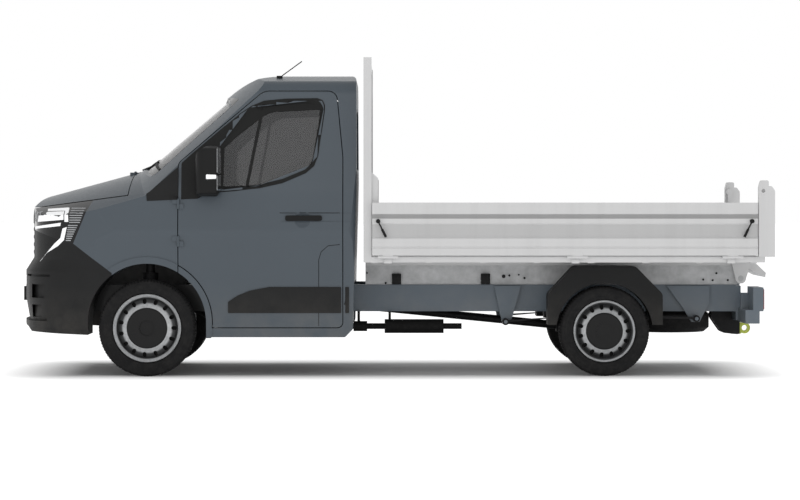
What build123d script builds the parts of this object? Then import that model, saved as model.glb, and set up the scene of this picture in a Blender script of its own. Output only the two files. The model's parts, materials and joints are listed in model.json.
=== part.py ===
from build123d import *
import math
import os

# Light tipper truck with a single bonneted cab and a dropside bed, in millimetres.
# x runs from the front axle towards the rear, y from the centre line (the vehicle's left side is
# negative) and z from the ground. The finished pieces are shifted so that the middle of the
# overall length lies at x = 0.

# Overall layout
WHEELBASE = 3550.0
REAR_OVERHANG = 1077.0
RAIL_REAR_X = WHEELBASE + REAR_OVERHANG
TIP_X = RAIL_REAR_X + 36.0
HOIST_X = WHEELBASE - 350.0
NOSE_X = -1045.0
SHUT_GAP = 7.0
SEAT = 0.3

# Cab and nose outlines
CAB_HALF = 1035.0
CAB_REAR_X = 1624.0
CAB_BOTTOM_Z = 305.0
ROOF_Z = 2367.0
ROOF_RISE = 33.0
ROOF_FRONT_R = 900.0
SCREEN_ANGLE = 40.4
SCREEN_FOOT_X = -120.0
SCREEN_FOOT_Z = 1595.0
SCREEN_PLAN_R = 2460.0
BONNET_ANGLE = 15.2
BONNET_PLAN_R = 2440.0
BONNET_REAR_X = -150.0
BONNET_REAR_Z = 1590.0
BONNET_T = 40.0
SHUT_LINE_X = -835.0
SHUT_LINE_Z = 1315.0
SHUT_LINE_SLOPE = 0.128
SIDE_WALL = 80.0
BACK_WALL = 55.0
ROOF_WALL = 55.0
FLOOR_Z = 760.0
UNDER_FLOOR_Z = 715.0
UNDER_FLOOR_HALF = 700.0
FIREWALL_X = 290.0
FIREWALL_T = 45.0
BAY_HALF = 600.0
BAY_FRONT_X = -880.0
BAY_TOP_Z = 1140.0
ARCH_R = 459.0
ARCH_Z = 418.0
ARCH_INNER = 545.0
ARCH_FLARE = 52.0
FLARE_OUT = 7.0
FLARE_DEPTH = 85.0
CREASE_HIGH_Z = 1126.0
CREASE_LOW_Z = 1065.0
CREASE_IN = 17.0
PRESS_LINE = 5.0
PRESS_DEPTH = 3.0
PRESS_LINES_Z = (1203.0, 1265.0)
PRESS_FRONT_X = 1040.0
DASH_SHELF_Z = 1150.0
STEP_FRONT_X = 640.0
STEP_REAR_X = 1400.0
STEP_IN = 740.0
STEP_Z = 470.0

# Nose: lamp and bumper corners in side view, grille and plate places
LAMP_TIP_X = -432.0
LAMP_HEEL = (-634.0, 1044.0)
LAMP_FRONT_Z = 1180.0
LAMP_IN = 560.0
SPLIT_HIGH = (-572.0, 1032.0)
SPLIT_LOW = (-270.0, 804.0)
GRILLE_BOTTOM_Z = 850.0
GRILLE_HALF = 490.0
GRILLE_MARGIN = 60.0
GRILLE_SLOTS = 5
GRILLE_SLOT = 34.0
GRILLE_PITCH = 60.0
PLATE_HALF = 260.0
PLATE_Z = 570.0
PLATE_H = 110.0
INTAKE_HALF = 420.0
INTAKE_Z = 700.0
INTAKE_H = 75.0
RIDGE_Z = 815.0
GRILLE_FOOT_Z = 905.0
GRILLE_BACK = 58.0
CHIN_TOP_Z = 600.0
CHIN_IN = 30.0
CHIN_REAR_X = -783.0
LIP_TOP_Z = 428.0
# Bumper corner recesses, columns front x, rear x, low z, high z, depth: slot, upper and lower pocket
BUMPER_POCKETS = (
    (NOSE_X, -760.0, 773.0, 790.0, 26.0),
    (-918.0, -808.0, 607.0, 712.0, 34.0),
    (-918.0, -834.0, 455.0, 553.0, 40.0),
)

# Inside the cab
DASH_HALF = 890.0
WHEEL_HUB = (700.0, -390.0, 1450.0)
COLUMN_DIR = Vector(0.72, 0, 0.69).normalized()
STEER_WHEEL_R = 195.0
SEAT_PLACES = ((-700.0, -180.0), (-120.0, 760.0))

# Doors and glass
PILLAR_FOOT_Z = 1656.0
DOOR_FRONT_X = 246.0
DOOR_REAR_X = 1515.0
DOOR_BOTTOM_Z = 382.0
DOOR_TOP_Z = 2215.0
DOOR_FLANGE = 30.0
DOOR_STEP = 22.0
DOOR_HINGES_Z = (1010.0, 1300.0)
DOOR_HINGE_Y = 1029.0
BONNET_HINGES_Y = (-250.0, 210.0)
BONNET_HINGE_Z = 1590.0
KNUCKLE_R = 9.0
KNUCKLE_LENGTH = 40.0
KNUCKLE_ROOM = 1.5
LEAF = 40.0
GLASS_DEPTH = 24.0
GLASS_T = 6.0
MIRROR_OUT = 1235.0
MIRROR_IN = 1045.0
MIRROR_FRONT_X = 377.0
MIRROR_REAR_X = 585.0
MIRROR_BOTTOM_Z = 1392.0
MIRROR_TOP_Z = 1792.0
HANDLE_FRONT_X = 1074.0
HANDLE_REAR_X = 1357.0
HANDLE_Z = 1229.0
HANDLE_H = 42.0
HANDLE_OUT = 1040.0
HANDLE_IN = 1017.0
BOWL_X = 1206.0
BOWL_R = 144.0
BOWL_Y = 1155.0
ANTENNA_FOOT = (1010.0, -500.0, 2325.0)
ANTENNA_TIP = (1187.0, -500.0, 2468.0)
ANTENNA_R = 4.0
ANTENNA_BASE_R = 24.0
ANTENNA_BASE_H = 28.0

# Ladder frame
RAIL_IN = 410.0
RAIL_OUT = 480.0
RAIL_BOTTOM_Z = 488.0
RAIL_TOP_Z = 699.0
RAIL_FRONT_X = BAY_FRONT_X + SEAT
RAIL_WALL = 8.0
SUBFRAME_FRONT_X = 1690.0
SUBFRAME_REAR_X = RAIL_REAR_X + 13.0
SUBFRAME_TOP_Z = 851.0
SUBFRAME_IN = 405.0
SUBFRAME_OUT = 465.0
SUBFRAME_SLOTS = ((1900.0, 1973.0), (2605.0, 2680.0))
SUBFRAME_BEAMS = (SUBFRAME_FRONT_X + 70, HOIST_X - 210, HOIST_X + 220, SUBFRAME_REAR_X - 80)
CAB_MOUNTS_X = (640.0, 1480.0)
REAR_MEMBER_Z = 520.0
SPARE_X = WHEELBASE + 572.0
SPARE_MEMBER_Z = 600.0
# Cross members, columns middle x, underside z
CROSS_MEMBERS = (
    (-790.0, 520.0), (1250.0, 610.0), (1850.0, 560.0), (WHEELBASE - 930, 560.0),
    (SPARE_X, SPARE_MEMBER_Z), (RAIL_REAR_X - 42, REAR_MEMBER_Z),
)
GEARBOX_END_X = 900.0

# Springs and rear axle
SPRING_Y = 560.0
SPRING_W = 70.0
SPRING_BOLT_R = 14.0
HANGER_T = 35.0
SPRING_HALF = 753.0
SPRING_FRONT = (WHEELBASE - SPRING_HALF, 409.0)
SPRING_REAR = (WHEELBASE + SPRING_HALF, 434.0)
# Hanger plates, columns x from the spring eye, z, corner radius
FRONT_HANGER = [(-88, 690, 0), (123, 690, 0), (53, 433, 30), (18, 385, 10), (-22, 385, 10)]
REAR_HANGER = [
    (-228, 690, 0), (109, 690, 0), (109, 560, 30), (32, 405, 15), (-33, 405, 15), (-103, 520, 30),
]
SPRING_HANGERS = ((FRONT_HANGER, *SPRING_FRONT), (REAR_HANGER, *SPRING_REAR))
SPRING_SEAT_Z = 412.0
SPRING_EYE_R = 27.0
AXLE_R = 52.0
DIFF_R = 150.0
PINION_X = WHEELBASE - 230.0
GEARBOX_Z = 590.0
SHAFT_R = 32.0
SHAFT_JOINT_R = 46.0
SHAFT_JOINT_L = 90.0

# Exhaust, tank, mudguards, lamps, tow gear and spare wheel
EXHAUST_Y = 560.0
EXHAUST_Z = 374.0
EXHAUST_END_X = WHEELBASE - 1100.0
# Catalyst and silencer, columns start and end before the pipe's end, radius
EXHAUST_CANS = ((853.0, 746.0, 40.0), (608.0, 143.0, 55.0))
TANK_IN = RAIL_OUT + SEAT
TANK_OUT = 690.0
TANK_FRONT_X = 700.0
TANK_REAR_X = 1470.0
GUARD_FRONT_X = WHEELBASE - 440.0
GUARD_REAR_X = WHEELBASE + 452.0
GUARD_LOW_Z = 400.0
GUARD_TOP_Z = 857.0
GUARD_IN = 705.0
GUARD_OUT = 940.0
GUARD_R = 375.0
LAMP_BOARD_X = RAIL_REAR_X + 18.0
LAMP_BOARD_HALF = 930.0
LAMP_BEAM_Z = 409.0
TOW_HEAD_X = LAMP_BOARD_X + 61.0
TOW_EYE_X = TOW_HEAD_X + 48.0
TOW_EYE_Z = 336.0
TOW_EYE_R = 46.0
TOW_EYE_HALF = 22.0
TOW_BORE_R = 22.0
SPARE_Z = 311.0
SPARE_R = 343.0
SPARE_H = 176.0

# Front suspension
ARM_LOW_Z = 196.0
ARM_HIGH_Z = 524.0
ARM_T = 30.0
DAMPER_Y = 650.0

# Wheels: the front tyre is taller than the rear one
FRONT_TYRE_R = 376.0
REAR_TYRE_R = 350.0
TYRE_W = 215.0
FRONT_RIM_R = 264.0
REAR_RIM_R = 240.0
FRONT_TRACK_OUT = 985.0
REAR_TRACK_OUT = 930.0
RIM_HOLES = 15
RIM_PAD = 60.0
BEAD_DROP = 12.0
HUB_CAP_R = 64.0
HUB_PAD_R = 110.0
HUB_RECESS = 12.0
VENT_RUN = 12.0
VENT_W = 30.0
HUB_CAP_RISE = 4.0
KINGPIN_Y = 800.0

# Bed
BED_FRONT_X = 1679.0
BED_REAR_X = TIP_X + 117.0
BED_HALF = 1058.0
BEARERS = 8
HINGES_X = (BED_FRONT_X + 189, BED_REAR_X - 1451, BED_REAR_X - 253)
HINGE_LENGTH = 80.0
HINGE_R = 11.0
HINGE_Y = 1095.0
HINGE_Z = 928.0
SIDE_OUT = 1100.0
POST_W = 62.0
PANEL_TOP_Z = 1585.0
GRID_BARS = 13
POST_FRONT_X = BED_REAR_X - 53.0
POST_REAR_X = BED_REAR_X + 71.0
POST_IN = 1036.0
POST_OUT = 1100.0
GATE_HALF = 1030.0
GATE_PIN_X = BED_REAR_X - 20.0
GATE_PIN_Z = 1440.0
GATE_PIN_R = 14.0
APRON_X = BED_REAR_X + 100.0
APRON_HALF = 370.0
FLOOR_PLATE_T = 30.0
EDGE_RAIL_Z = 887.0
BED_TOP_Z = 934.0
DECK_T = 3.0
DECK_HALF = 1000.0
BED_BASE_Z = BED_TOP_Z - DECK_T
SIDE_FRONT_X = BED_FRONT_X + POST_W + 5.0
SIDE_REAR_X = POST_FRONT_X - 8.0
SIDE_BOTTOM_Z = 942.0
SIDE_TOP_Z = 1349.0
SIDE_T = 30.0
STRIP_DEPTH = 2.0
# Outer face of a dropside, columns depth, z: top roll, groove, upper strip, panel, lower strip, foot
SIDE_FACE = (
    (0, 1262), (9, 1259), (9, 1228), (STRIP_DEPTH, 1225), (STRIP_DEPTH, 1192), (14, 1180),
    (14, 1083), (STRIP_DEPTH, 1071), (STRIP_DEPTH, 1012), (6, 1008), (6, 1000), (0, 996),
)
LATCH_INSET = 46.0
LATCH_Z = 1206.0
LATCH_RUN = 60.0
LATCH_DROP = 122.0
LATCH_BOSS_R = 17.0
LATCH_BAR_R = 6.0
LATCH_GRIP_R = 10.0
LATCH_OUT = 22.0
HEADBOARD_TOP_Z = 2472.0
POST_TOP_Z = 1521.0
TIP_Z = 750.0
TIP_PIN_R = 22.0
TIP_BOSS_R = 42.0
TIP_EAR_IN = 471.0
TIP_EAR_OUT = 501.0

# Lift cylinder under the bed
TRUNNION_Z = 640.0
HOIST_EYE_Z = 862.0
HOIST_BOTTOM_Z = 420.0
HOIST_TOP_Z = 832.0
HOIST_BORES = (150.0, 122.0, 98.0, 74.0)
HOIST_CLEAR = 0.5
HOIST_SLOT_R = 40.0
CHEEK_Z = 840.0
HOIST_PIN_R = 16.0
TRUNNION_R = 24.0
TRUNNION_IN = 130.0
TRUNNION_OUT = 165.0


def outline(rows, inset=0.0):
    """Closed face from rows of (u, v, corner radius), moved inwards by inset."""
    points = [(u, v) for u, v, r in rows]
    radii = [r for u, v, r in rows]
    face = make_face(FilletPolyline(*points, radius=radii, close=True))
    if inset:
        face = offset(face, amount=-inset)
    return face


def side_prism(rows, y0, y1, inset=0.0):
    """Side-view outline of (x, z, r) rows, extruded across the vehicle from y0 to y1."""
    plane = Plane(origin=(0, y1, 0), x_dir=(1, 0, 0), z_dir=(0, -1, 0))
    return extrude(plane * outline(rows, inset), amount=y1 - y0, dir=(0, -1, 0))


def cross_prism(rows, x0, x1, inset=0.0):
    """Front-view outline of (y, z, r) rows, extruded along the vehicle from x0 to x1."""
    plane = Plane(origin=(x0, 0, 0), x_dir=(0, 1, 0), z_dir=(1, 0, 0))
    return extrude(plane * outline(rows, inset), amount=x1 - x0, dir=(1, 0, 0))


def plan_prism(rows, z0, z1, inset=0.0):
    """Plan-view outline of (x, y, r) rows, extruded upwards from z0 to z1."""
    plane = Plane(origin=(0, 0, z0))
    return extrude(plane * outline(rows, inset), amount=z1 - z0, dir=(0, 0, 1))


def block(x0, x1, y0, y1, z0, z1):
    """Box between two corners."""
    middle = ((x0 + x1) / 2, (y0 + y1) / 2, (z0 + z1) / 2)
    return Pos(*middle) * Box(abs(x1 - x0), abs(y1 - y0), abs(z1 - z0))


def bar_y(x, z, radius, y0, y1):
    """Round bar across the vehicle."""
    return Pos(x, (y0 + y1) / 2, z) * Rot(90, 0, 0) * Cylinder(radius, abs(y1 - y0))


def bar(start, end, radius):
    """Round bar between two points."""
    run = Vector(*end) - Vector(*start)
    plane = Plane(origin=start, z_dir=run)
    return plane * Cylinder(radius, run.length, align=(Align.CENTER, Align.CENTER, Align.MIN))


def across(shape):
    """The same shape on the other side of the centre line."""
    return mirror(shape, about=Plane.XZ)


def pair(shape):
    """A left piece and its mirror image as one list of solids."""
    return list(shape.solids()) + list(across(shape).solids())


def symmetric_rows(rows):
    """Rows of (u, v, r) on the positive side, closed by their mirror image in the first column."""
    return rows + [(-u, v, r) for u, v, r in reversed(rows) if u]


def slope_cylinder(radius, foot, angle, length):
    """Long cylinder whose highest line passes through foot and rises rearwards at the angle."""
    turn = math.radians(angle)
    along = Vector(math.cos(turn), 0, math.sin(turn))
    up = Vector(-math.sin(turn), 0, math.cos(turn))
    centre = Vector(foot[0], 0, foot[1]) - up * radius - along * (length / 2)
    plane = Plane(origin=centre, x_dir=-up, z_dir=along)
    return plane * Cylinder(radius, length, align=(Align.CENTER, Align.CENTER, Align.MIN))


# Cab cross-section, columns y, z, corner radius: sill, under and over the crease, window line,
# roof edge, crown
SECTION = symmetric_rows([
    (CAB_HALF - 70, CAB_BOTTOM_Z, 0),
    (CAB_HALF - CREASE_IN, CREASE_LOW_Z, 150),
    (CAB_HALF, CREASE_HIGH_Z, 150),
    (CAB_HALF - 30, 1450, 1500),
    (CAB_HALF - 185, ROOF_Z - 77, 130),
    (0, ROOF_Z + ROOF_RISE, 4000),
])


def plan_rows(back):
    """Plan outline with its nose moved back, columns x, y, radius: apex, nose corner, wing, rear corner."""
    half = [
        (NOSE_X - 57 + back, 0, 2600),
        (-900 + back, CAB_HALF - 125, 420),
        (-330, CAB_HALF + 2, 1500),
        (CAB_REAR_X + 2, CAB_HALF + 2, 90),
    ]
    return half + [(x, -y, r) for x, y, r in reversed(half) if y]


PLAN = plan_rows(0)
GRILLE_PLAN = plan_rows(GRILLE_BACK)

# Cab in side view, columns x, z, corner radius
SCREEN_TAN = math.tan(math.radians(SCREEN_ANGLE))
CAB_SIDE = [
    (SCREEN_FOOT_X - 60, CAB_BOTTOM_Z, 0),
    (SCREEN_FOOT_X - 60, SCREEN_FOOT_Z - 60 * SCREEN_TAN, 0),
    (SCREEN_FOOT_X + (ROOF_Z - SCREEN_FOOT_Z) / SCREEN_TAN, ROOF_Z, ROOF_FRONT_R),
    (CAB_REAR_X - 4, ROOF_Z, 60),
    (CAB_REAR_X, 1500, 0),
    (CAB_REAR_X - 28, CAB_BOTTOM_Z + 63, 20),
    (DOOR_REAR_X + 20, CAB_BOTTOM_Z, 20),
]

# Nose in side view, columns x, z, corner radius: lip, bumper edge, grille, bonnet edge, bonnet
NOSE_SIDE = [
    (SCREEN_FOOT_X + 120, CAB_BOTTOM_Z, 0),
    (-440, CAB_BOTTOM_Z + 17, 30),
    (NOSE_X + 125, 345, 20),
    (NOSE_X + 90, 378, 20),
    (NOSE_X + 37, 388, 15),
    (NOSE_X + 10, 430, 30),
    (NOSE_X - 15, 590, 80),
    (NOSE_X - 5, RIDGE_Z, 35),
    (NOSE_X + 50, GRILLE_FOOT_Z, 60),
    (NOSE_X + 50, 1155, 220),
    (-890, 1380, 120),
    (-748, 1440, 500),
    (SCREEN_FOOT_X + 120, BONNET_REAR_Z + 50, 0),
]


def cab_form(inset=0.0, roof=0.0):
    """Outer form of the cab behind the windscreen foot, or the same moved inwards."""
    form = side_prism(CAB_SIDE, -CAB_HALF - 50, CAB_HALF + 50, roof)
    form = form & cross_prism(SECTION, -400, CAB_REAR_X + 100, inset)
    form = form & plan_prism(PLAN, 0, ROOF_Z + 100, roof)
    turn = math.radians(SCREEN_ANGLE)
    foot = (SCREEN_FOOT_X + roof * math.sin(turn), SCREEN_FOOT_Z - roof * math.cos(turn))
    return form & slope_cylinder(SCREEN_PLAN_R, foot, SCREEN_ANGLE, 9000)


def plan_taper(low_rows, low_z, low_inset, high_rows, high_z, high_inset):
    """Solid between two plan outlines at two heights."""
    low = Plane(origin=(0, 0, low_z)) * outline(low_rows, low_inset)
    high = Plane(origin=(0, 0, high_z)) * outline(high_rows, high_inset)
    return loft([low, high], ruled=True)


def nose_plan(inset):
    """Plan of the nose at all heights: the grille and lamps stand behind the bumper's ridge."""
    form = plan_prism(PLAN, 0, RIDGE_Z, inset)
    form = form + plan_taper(PLAN, RIDGE_Z, inset, GRILLE_PLAN, GRILLE_FOOT_Z, inset)
    return form + plan_prism(GRILLE_PLAN, GRILLE_FOOT_Z, ROOF_Z, inset)


def nose_form(inset=0.0):
    """Outer form of the bonnet, wings, lamps and bumper, or the same moved inwards."""
    form = side_prism(NOSE_SIDE, -CAB_HALF - 50, CAB_HALF + 50, inset)
    form = form & cross_prism(SECTION, NOSE_X - 50, 400, inset)
    form = form & nose_plan(inset)
    foot = (BONNET_REAR_X, BONNET_REAR_Z - inset)
    return form & slope_cylinder(BONNET_PLAN_R, foot, BONNET_ANGLE, 9000)


def shut_z(x):
    """Height of the shut line between the bonnet and the wings."""
    return SHUT_LINE_Z + SHUT_LINE_SLOPE * (x - SHUT_LINE_X)


def front_arches(radius):
    """Both front wheel arches, round above and open below."""
    reach = CAB_HALF + 100
    arch = bar_y(0, ARCH_Z, radius, -reach, -ARCH_INNER)
    arch = arch + block(-radius, radius, -reach, -ARCH_INNER, 0, ARCH_Z)
    return arch + across(arch)


def arch_flare():
    """Raised lip round the left front wheel arch."""
    y0 = -CAB_HALF - 50
    y1 = -CAB_HALF + FLARE_DEPTH
    ring = bar_y(0, ARCH_Z, ARCH_R + ARCH_FLARE - SEAT, y0, y1) - bar_y(0, ARCH_Z, ARCH_R, y0, y1)
    return ring & cross_prism(SECTION, -600, 600, -FLARE_OUT)


def press_lines():
    """Shallow grooves pressed along the left side behind the door handle."""
    deep = cross_prism(SECTION, 0, CAB_REAR_X + 100, PRESS_DEPTH)
    return [block(PRESS_FRONT_X, CAB_REAR_X + 50, -CAB_HALF - 50, 0, z, z + PRESS_LINE) - deep
            for z in PRESS_LINES_Z]


# Rooms inside the cab, columns front x, floor z: seats, over the arches, over the dash shelf
ROOMS = (
    (ARCH_R + 66, FLOOR_Z),
    (FIREWALL_X + FIREWALL_T, ARCH_Z + ARCH_R + 53),
    (90, DASH_SHELF_Z),
)

# Door outline without the arch, columns x, z, corner radius
PILLAR_TAN = math.tan(math.radians(SCREEN_ANGLE))
DOOR_SIDE = [
    (DOOR_FRONT_X, DOOR_BOTTOM_Z, 0),
    (DOOR_FRONT_X, PILLAR_FOOT_Z, 60),
    (DOOR_FRONT_X + (DOOR_TOP_Z - PILLAR_FOOT_Z) / PILLAR_TAN, DOOR_TOP_Z, 120),
    (DOOR_REAR_X - 50, DOOR_TOP_Z, 70),
    (DOOR_REAR_X, 1700, 400),
    (DOOR_REAR_X, DOOR_BOTTOM_Z, 40),
]

# Door window, columns x, z, corner radius, from the front lower corner round the top
WINDOW_SIDE = [
    (572, 1447, 25),
    (562, 1785, 40),
    (785, 2088, 60),
    (1330, 2150, 50),
    (1369, 2085, 60),
    (1280, 1646, 70),
    (870, 1483, 200),
]

# Windscreen and rear window in front view, columns y, z, corner radius
SCREEN_FRONT = symmetric_rows([(0, 1640, 3000), (790, 1545, 50), (705, 2165, 60), (0, 2187, 6000)])
REAR_WINDOW = symmetric_rows([(640, 1610, 60), (640, 2085, 60)])


def door_zone(grow):
    """Door outline across the left side, grown by a gap, with the wheel arch flare taken off."""
    zone = side_prism(DOOR_SIDE, -CAB_HALF - 100, -BAY_HALF, -grow)
    return zone - bar_y(0, ARCH_Z, ARCH_R + ARCH_FLARE - grow, -CAB_HALF - 200, 0)


def side_layer(outer, inner):
    """Layer of the cab's side walls between two depths."""
    length = (-400, CAB_REAR_X + 100)
    return cross_prism(SECTION, *length, outer) - cross_prism(SECTION, *length, inner)


def door_hinges(shift, radius):
    """Hinge knuckles on the left door's axis, moved up by shift and of a given radius."""
    knuckles = []
    for z in DOOR_HINGES_Z:
        foot = Vector(DOOR_FRONT_X, -DOOR_HINGE_Y, z + shift)
        knuckles.append(bar(foot, foot + Vector(0, 0, KNUCKLE_LENGTH - SEAT), radius))
    return knuckles


def door_leaves(shift, x0, x1):
    """Hinge leaves that tie the left door's knuckles to a panel between x0 and x1."""
    top = KNUCKLE_LENGTH - SEAT
    return [block(x0, x1, -DOOR_HINGE_Y, -DOOR_HINGE_Y + 2 * KNUCKLE_R, z + shift, z + shift + top)
            for z in DOOR_HINGES_Z]


def bonnet_hinges(shift, radius):
    """Hinge knuckles on the bonnet's axis, moved sideways by shift and of a given radius."""
    x = BONNET_REAR_X - SHUT_GAP + 2
    return [bar_y(x, BONNET_HINGE_Z, radius, y + shift, y + shift + KNUCKLE_LENGTH - SEAT)
            for y in BONNET_HINGES_Y]


def bonnet_leaves(shift, x0, x1):
    """Hinge leaves that tie the bonnet's knuckles to a panel between x0 and x1."""
    low = BONNET_HINGE_Z - LEAF
    return [block(x0, x1, y + shift, y + shift + KNUCKLE_LENGTH - SEAT, low, BONNET_HINGE_Z)
            for y in BONNET_HINGES_Y]


def hinged(panel, knuckles, leaves, notches):
    """Panel with its own hinge knuckles and leaves, and room for the other side's knuckles."""
    for piece in knuckles + leaves:
        panel = panel + piece
    for notch in notches:
        panel = panel - notch
    return panel


def handle_form(grow):
    """Pull handle across the bowl in the left door, grown by a gap."""
    low = HANDLE_Z - HANDLE_H / 2
    high = HANDLE_Z + HANDLE_H / 2
    corners = ((HANDLE_FRONT_X, low), (HANDLE_REAR_X, low), (HANDLE_REAR_X, high), (HANDLE_FRONT_X, high))
    rows = [(x, z, HANDLE_H / 3) for x, z in corners]
    return side_prism(rows, -HANDLE_OUT, -HANDLE_IN + grow, -grow)


def make_antenna():
    """Roof antenna: a low base on the roof skin and a raked rod."""
    foot = Vector(*ANTENNA_FOOT)
    base = bar(foot, foot + Vector(0, 0, ANTENNA_BASE_H), ANTENNA_BASE_R)
    rod = bar(foot + Vector(0, 0, ANTENNA_BASE_H / 2), ANTENNA_TIP, ANTENNA_R)
    return (base + rod) - cross_prism(SECTION, FIREWALL_X, CAB_REAR_X, -SEAT)


def make_door():
    """Left door: flanged outer skin, stepped inner frame and a window opening."""
    door = door_zone(0) & side_layer(0, SIDE_WALL)
    inner = door_zone(-DOOR_STEP)
    rebate = cross_prism(SECTION, -400, CAB_REAR_X + 100, DOOR_FLANGE) - inner
    door = door - rebate
    door = door - side_prism(WINDOW_SIDE, -CAB_HALF - 100, 0)
    door = door - Pos(BOWL_X, -BOWL_Y, HANDLE_Z) * Sphere(BOWL_R)
    door = door - handle_form(SEAT) - press_lines()
    leaves = door_leaves(0, DOOR_FRONT_X, DOOR_FRONT_X + LEAF)
    notches = door_hinges(KNUCKLE_LENGTH, KNUCKLE_R + KNUCKLE_ROOM)
    return hinged(door, door_hinges(0, KNUCKLE_R), leaves, notches)


def make_door_glass():
    """Left door's pane, seated in the middle of the frame."""
    pane = side_prism(WINDOW_SIDE, -CAB_HALF - 100, -BAY_HALF, SEAT)
    return pane & side_layer(GLASS_DEPTH, GLASS_DEPTH + GLASS_T)


def screen_cylinder(depth):
    """Curved sheet of the windscreen at a depth below the outer surface."""
    turn = math.radians(SCREEN_ANGLE)
    foot = (SCREEN_FOOT_X + depth * math.sin(turn), SCREEN_FOOT_Z - depth * math.cos(turn))
    return slope_cylinder(SCREEN_PLAN_R, foot, SCREEN_ANGLE, 9000)


def make_cab_glass():
    """Windscreen and rear window."""
    screen = cross_prism(SCREEN_FRONT, -300, 620, SEAT)
    screen = (screen & screen_cylinder(GLASS_DEPTH)) - screen_cylinder(GLASS_DEPTH + GLASS_T)
    back_x = CAB_REAR_X - BACK_WALL / 2
    rear = cross_prism(REAR_WINDOW, back_x - GLASS_T / 2, back_x + GLASS_T / 2, SEAT)
    return list(screen.solids()) + list(rear.solids())


def cab_void():
    """Space inside the cab above its stepped floor."""
    rooms = [block(x, CAB_REAR_X, -CAB_HALF, CAB_HALF, z, ROOF_Z) for x, z in ROOMS]
    return cab_form(SIDE_WALL, ROOF_WALL) & (rooms[0] + rooms[1] + rooms[2])


def make_cab_shell():
    """Roof, pillars, cowl, firewall, floor, sills and back wall in one hollow shell."""
    shell = cab_form() + (nose_form() & block(BONNET_REAR_X, 400, -1200, 1200, 0, 3000))
    flare = arch_flare()
    shell = shell + flare + across(flare) - cab_void()
    shell = shell & block(BONNET_REAR_X, CAB_REAR_X + 50, -1200, 1200, 0, 3000)
    shell = shell - block(BONNET_REAR_X - 9, FIREWALL_X, -BAY_HALF, BAY_HALF, 0, BAY_TOP_Z)
    shell = shell - block(0, CAB_REAR_X + 50, -UNDER_FLOOR_HALF, UNDER_FLOOR_HALF, 0, UNDER_FLOOR_Z)
    shell = shell - front_arches(ARCH_R)
    opening = door_zone(SHUT_GAP) - cross_prism(SECTION, -400, CAB_REAR_X, SIDE_WALL + SHUT_GAP)
    step = block(STEP_FRONT_X, STEP_REAR_X, -CAB_HALF, -STEP_IN, STEP_Z, FLOOR_Z)
    wing = wing_zone()
    for cut in (opening, step, wing, *press_lines()):
        shell = shell - cut - across(cut)
    shell = shell - cross_prism(SCREEN_FRONT, -300, 620)
    shell = shell - cross_prism(REAR_WINDOW, CAB_REAR_X - 150, CAB_REAR_X + 50)
    leaves = bonnet_leaves(KNUCKLE_LENGTH, BONNET_REAR_X - SHUT_GAP + 2, BONNET_REAR_X + LEAF)
    notches = bonnet_hinges(0, KNUCKLE_R + KNUCKLE_ROOM)
    return hinged(shell, bonnet_hinges(KNUCKLE_LENGTH, KNUCKLE_R), leaves, notches)


def wing_zone():
    """Side-view zone of the left wing below the bonnet's shut line."""
    rows = [
        (LAMP_TIP_X, shut_z(LAMP_TIP_X), 0),
        (DOOR_FRONT_X, shut_z(DOOR_FRONT_X), 0),
        (DOOR_FRONT_X, ARCH_Z, 0),
        (SPLIT_LOW[0], ARCH_Z, 0),
        (*SPLIT_LOW, 0),
        (*SPLIT_HIGH, 0),
    ]
    return side_prism(rows, -CAB_HALF - 100, -BAY_HALF)


def make_wings():
    """Front wings: solid panels over the arches, up to the bonnet and back to the doors."""
    body = nose_form() + cab_form() + arch_flare()
    wing = body & wing_zone()
    wing = wing & block(-1200, DOOR_FRONT_X - SHUT_GAP, -1200, 0, 0, 3000)
    wing = wing - front_arches(ARCH_R) - cab_void()
    leaves = door_leaves(KNUCKLE_LENGTH, DOOR_FRONT_X - SHUT_GAP - LEAF, DOOR_FRONT_X - SHUT_GAP / 2)
    notches = door_hinges(0, KNUCKLE_R + KNUCKLE_ROOM)
    return pair(hinged(wing, door_hinges(KNUCKLE_LENGTH, KNUCKLE_R), leaves, notches))


def make_bonnet():
    """Bonnet skin with its turned-down front and side edges."""
    skin = nose_form() - nose_form(BONNET_T)
    rear = BONNET_REAR_X - SHUT_GAP
    rows = [
        (NOSE_X - 100, shut_z(NOSE_X - 100) + SHUT_GAP, 0),
        (rear, shut_z(rear) + SHUT_GAP, 0),
        (rear, ROOF_Z, 0),
        (NOSE_X - 100, ROOF_Z, 0),
    ]
    skin = skin & side_prism(rows, -CAB_HALF - 100, CAB_HALF + 100)
    leaves = bonnet_leaves(0, rear - LEAF, rear + 2)
    notches = bonnet_hinges(KNUCKLE_LENGTH, KNUCKLE_R + KNUCKLE_ROOM)
    return hinged(skin, bonnet_hinges(0, KNUCKLE_R), leaves, notches)


def lamp_zone():
    """Side-view zone of the left headlamp, drawn back to a tip along the wing."""
    rows = [
        (NOSE_X, shut_z(NOSE_X), 0),
        (LAMP_TIP_X, shut_z(LAMP_TIP_X), 0),
        (*SPLIT_HIGH, 0),
        (*LAMP_HEEL, 0),
        (NOSE_X, LAMP_FRONT_Z, 0),
    ]
    return side_prism(rows, -CAB_HALF - 100, -LAMP_IN)


def engine_bay():
    """Space under the bonnet between the wings, open below."""
    return block(BAY_FRONT_X, FIREWALL_X, -BAY_HALF, BAY_HALF, 0, ROOF_Z)


def make_headlamps():
    """Headlamps that wrap round the corners of the nose."""
    return pair((nose_form() & lamp_zone()) - engine_bay())


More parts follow.
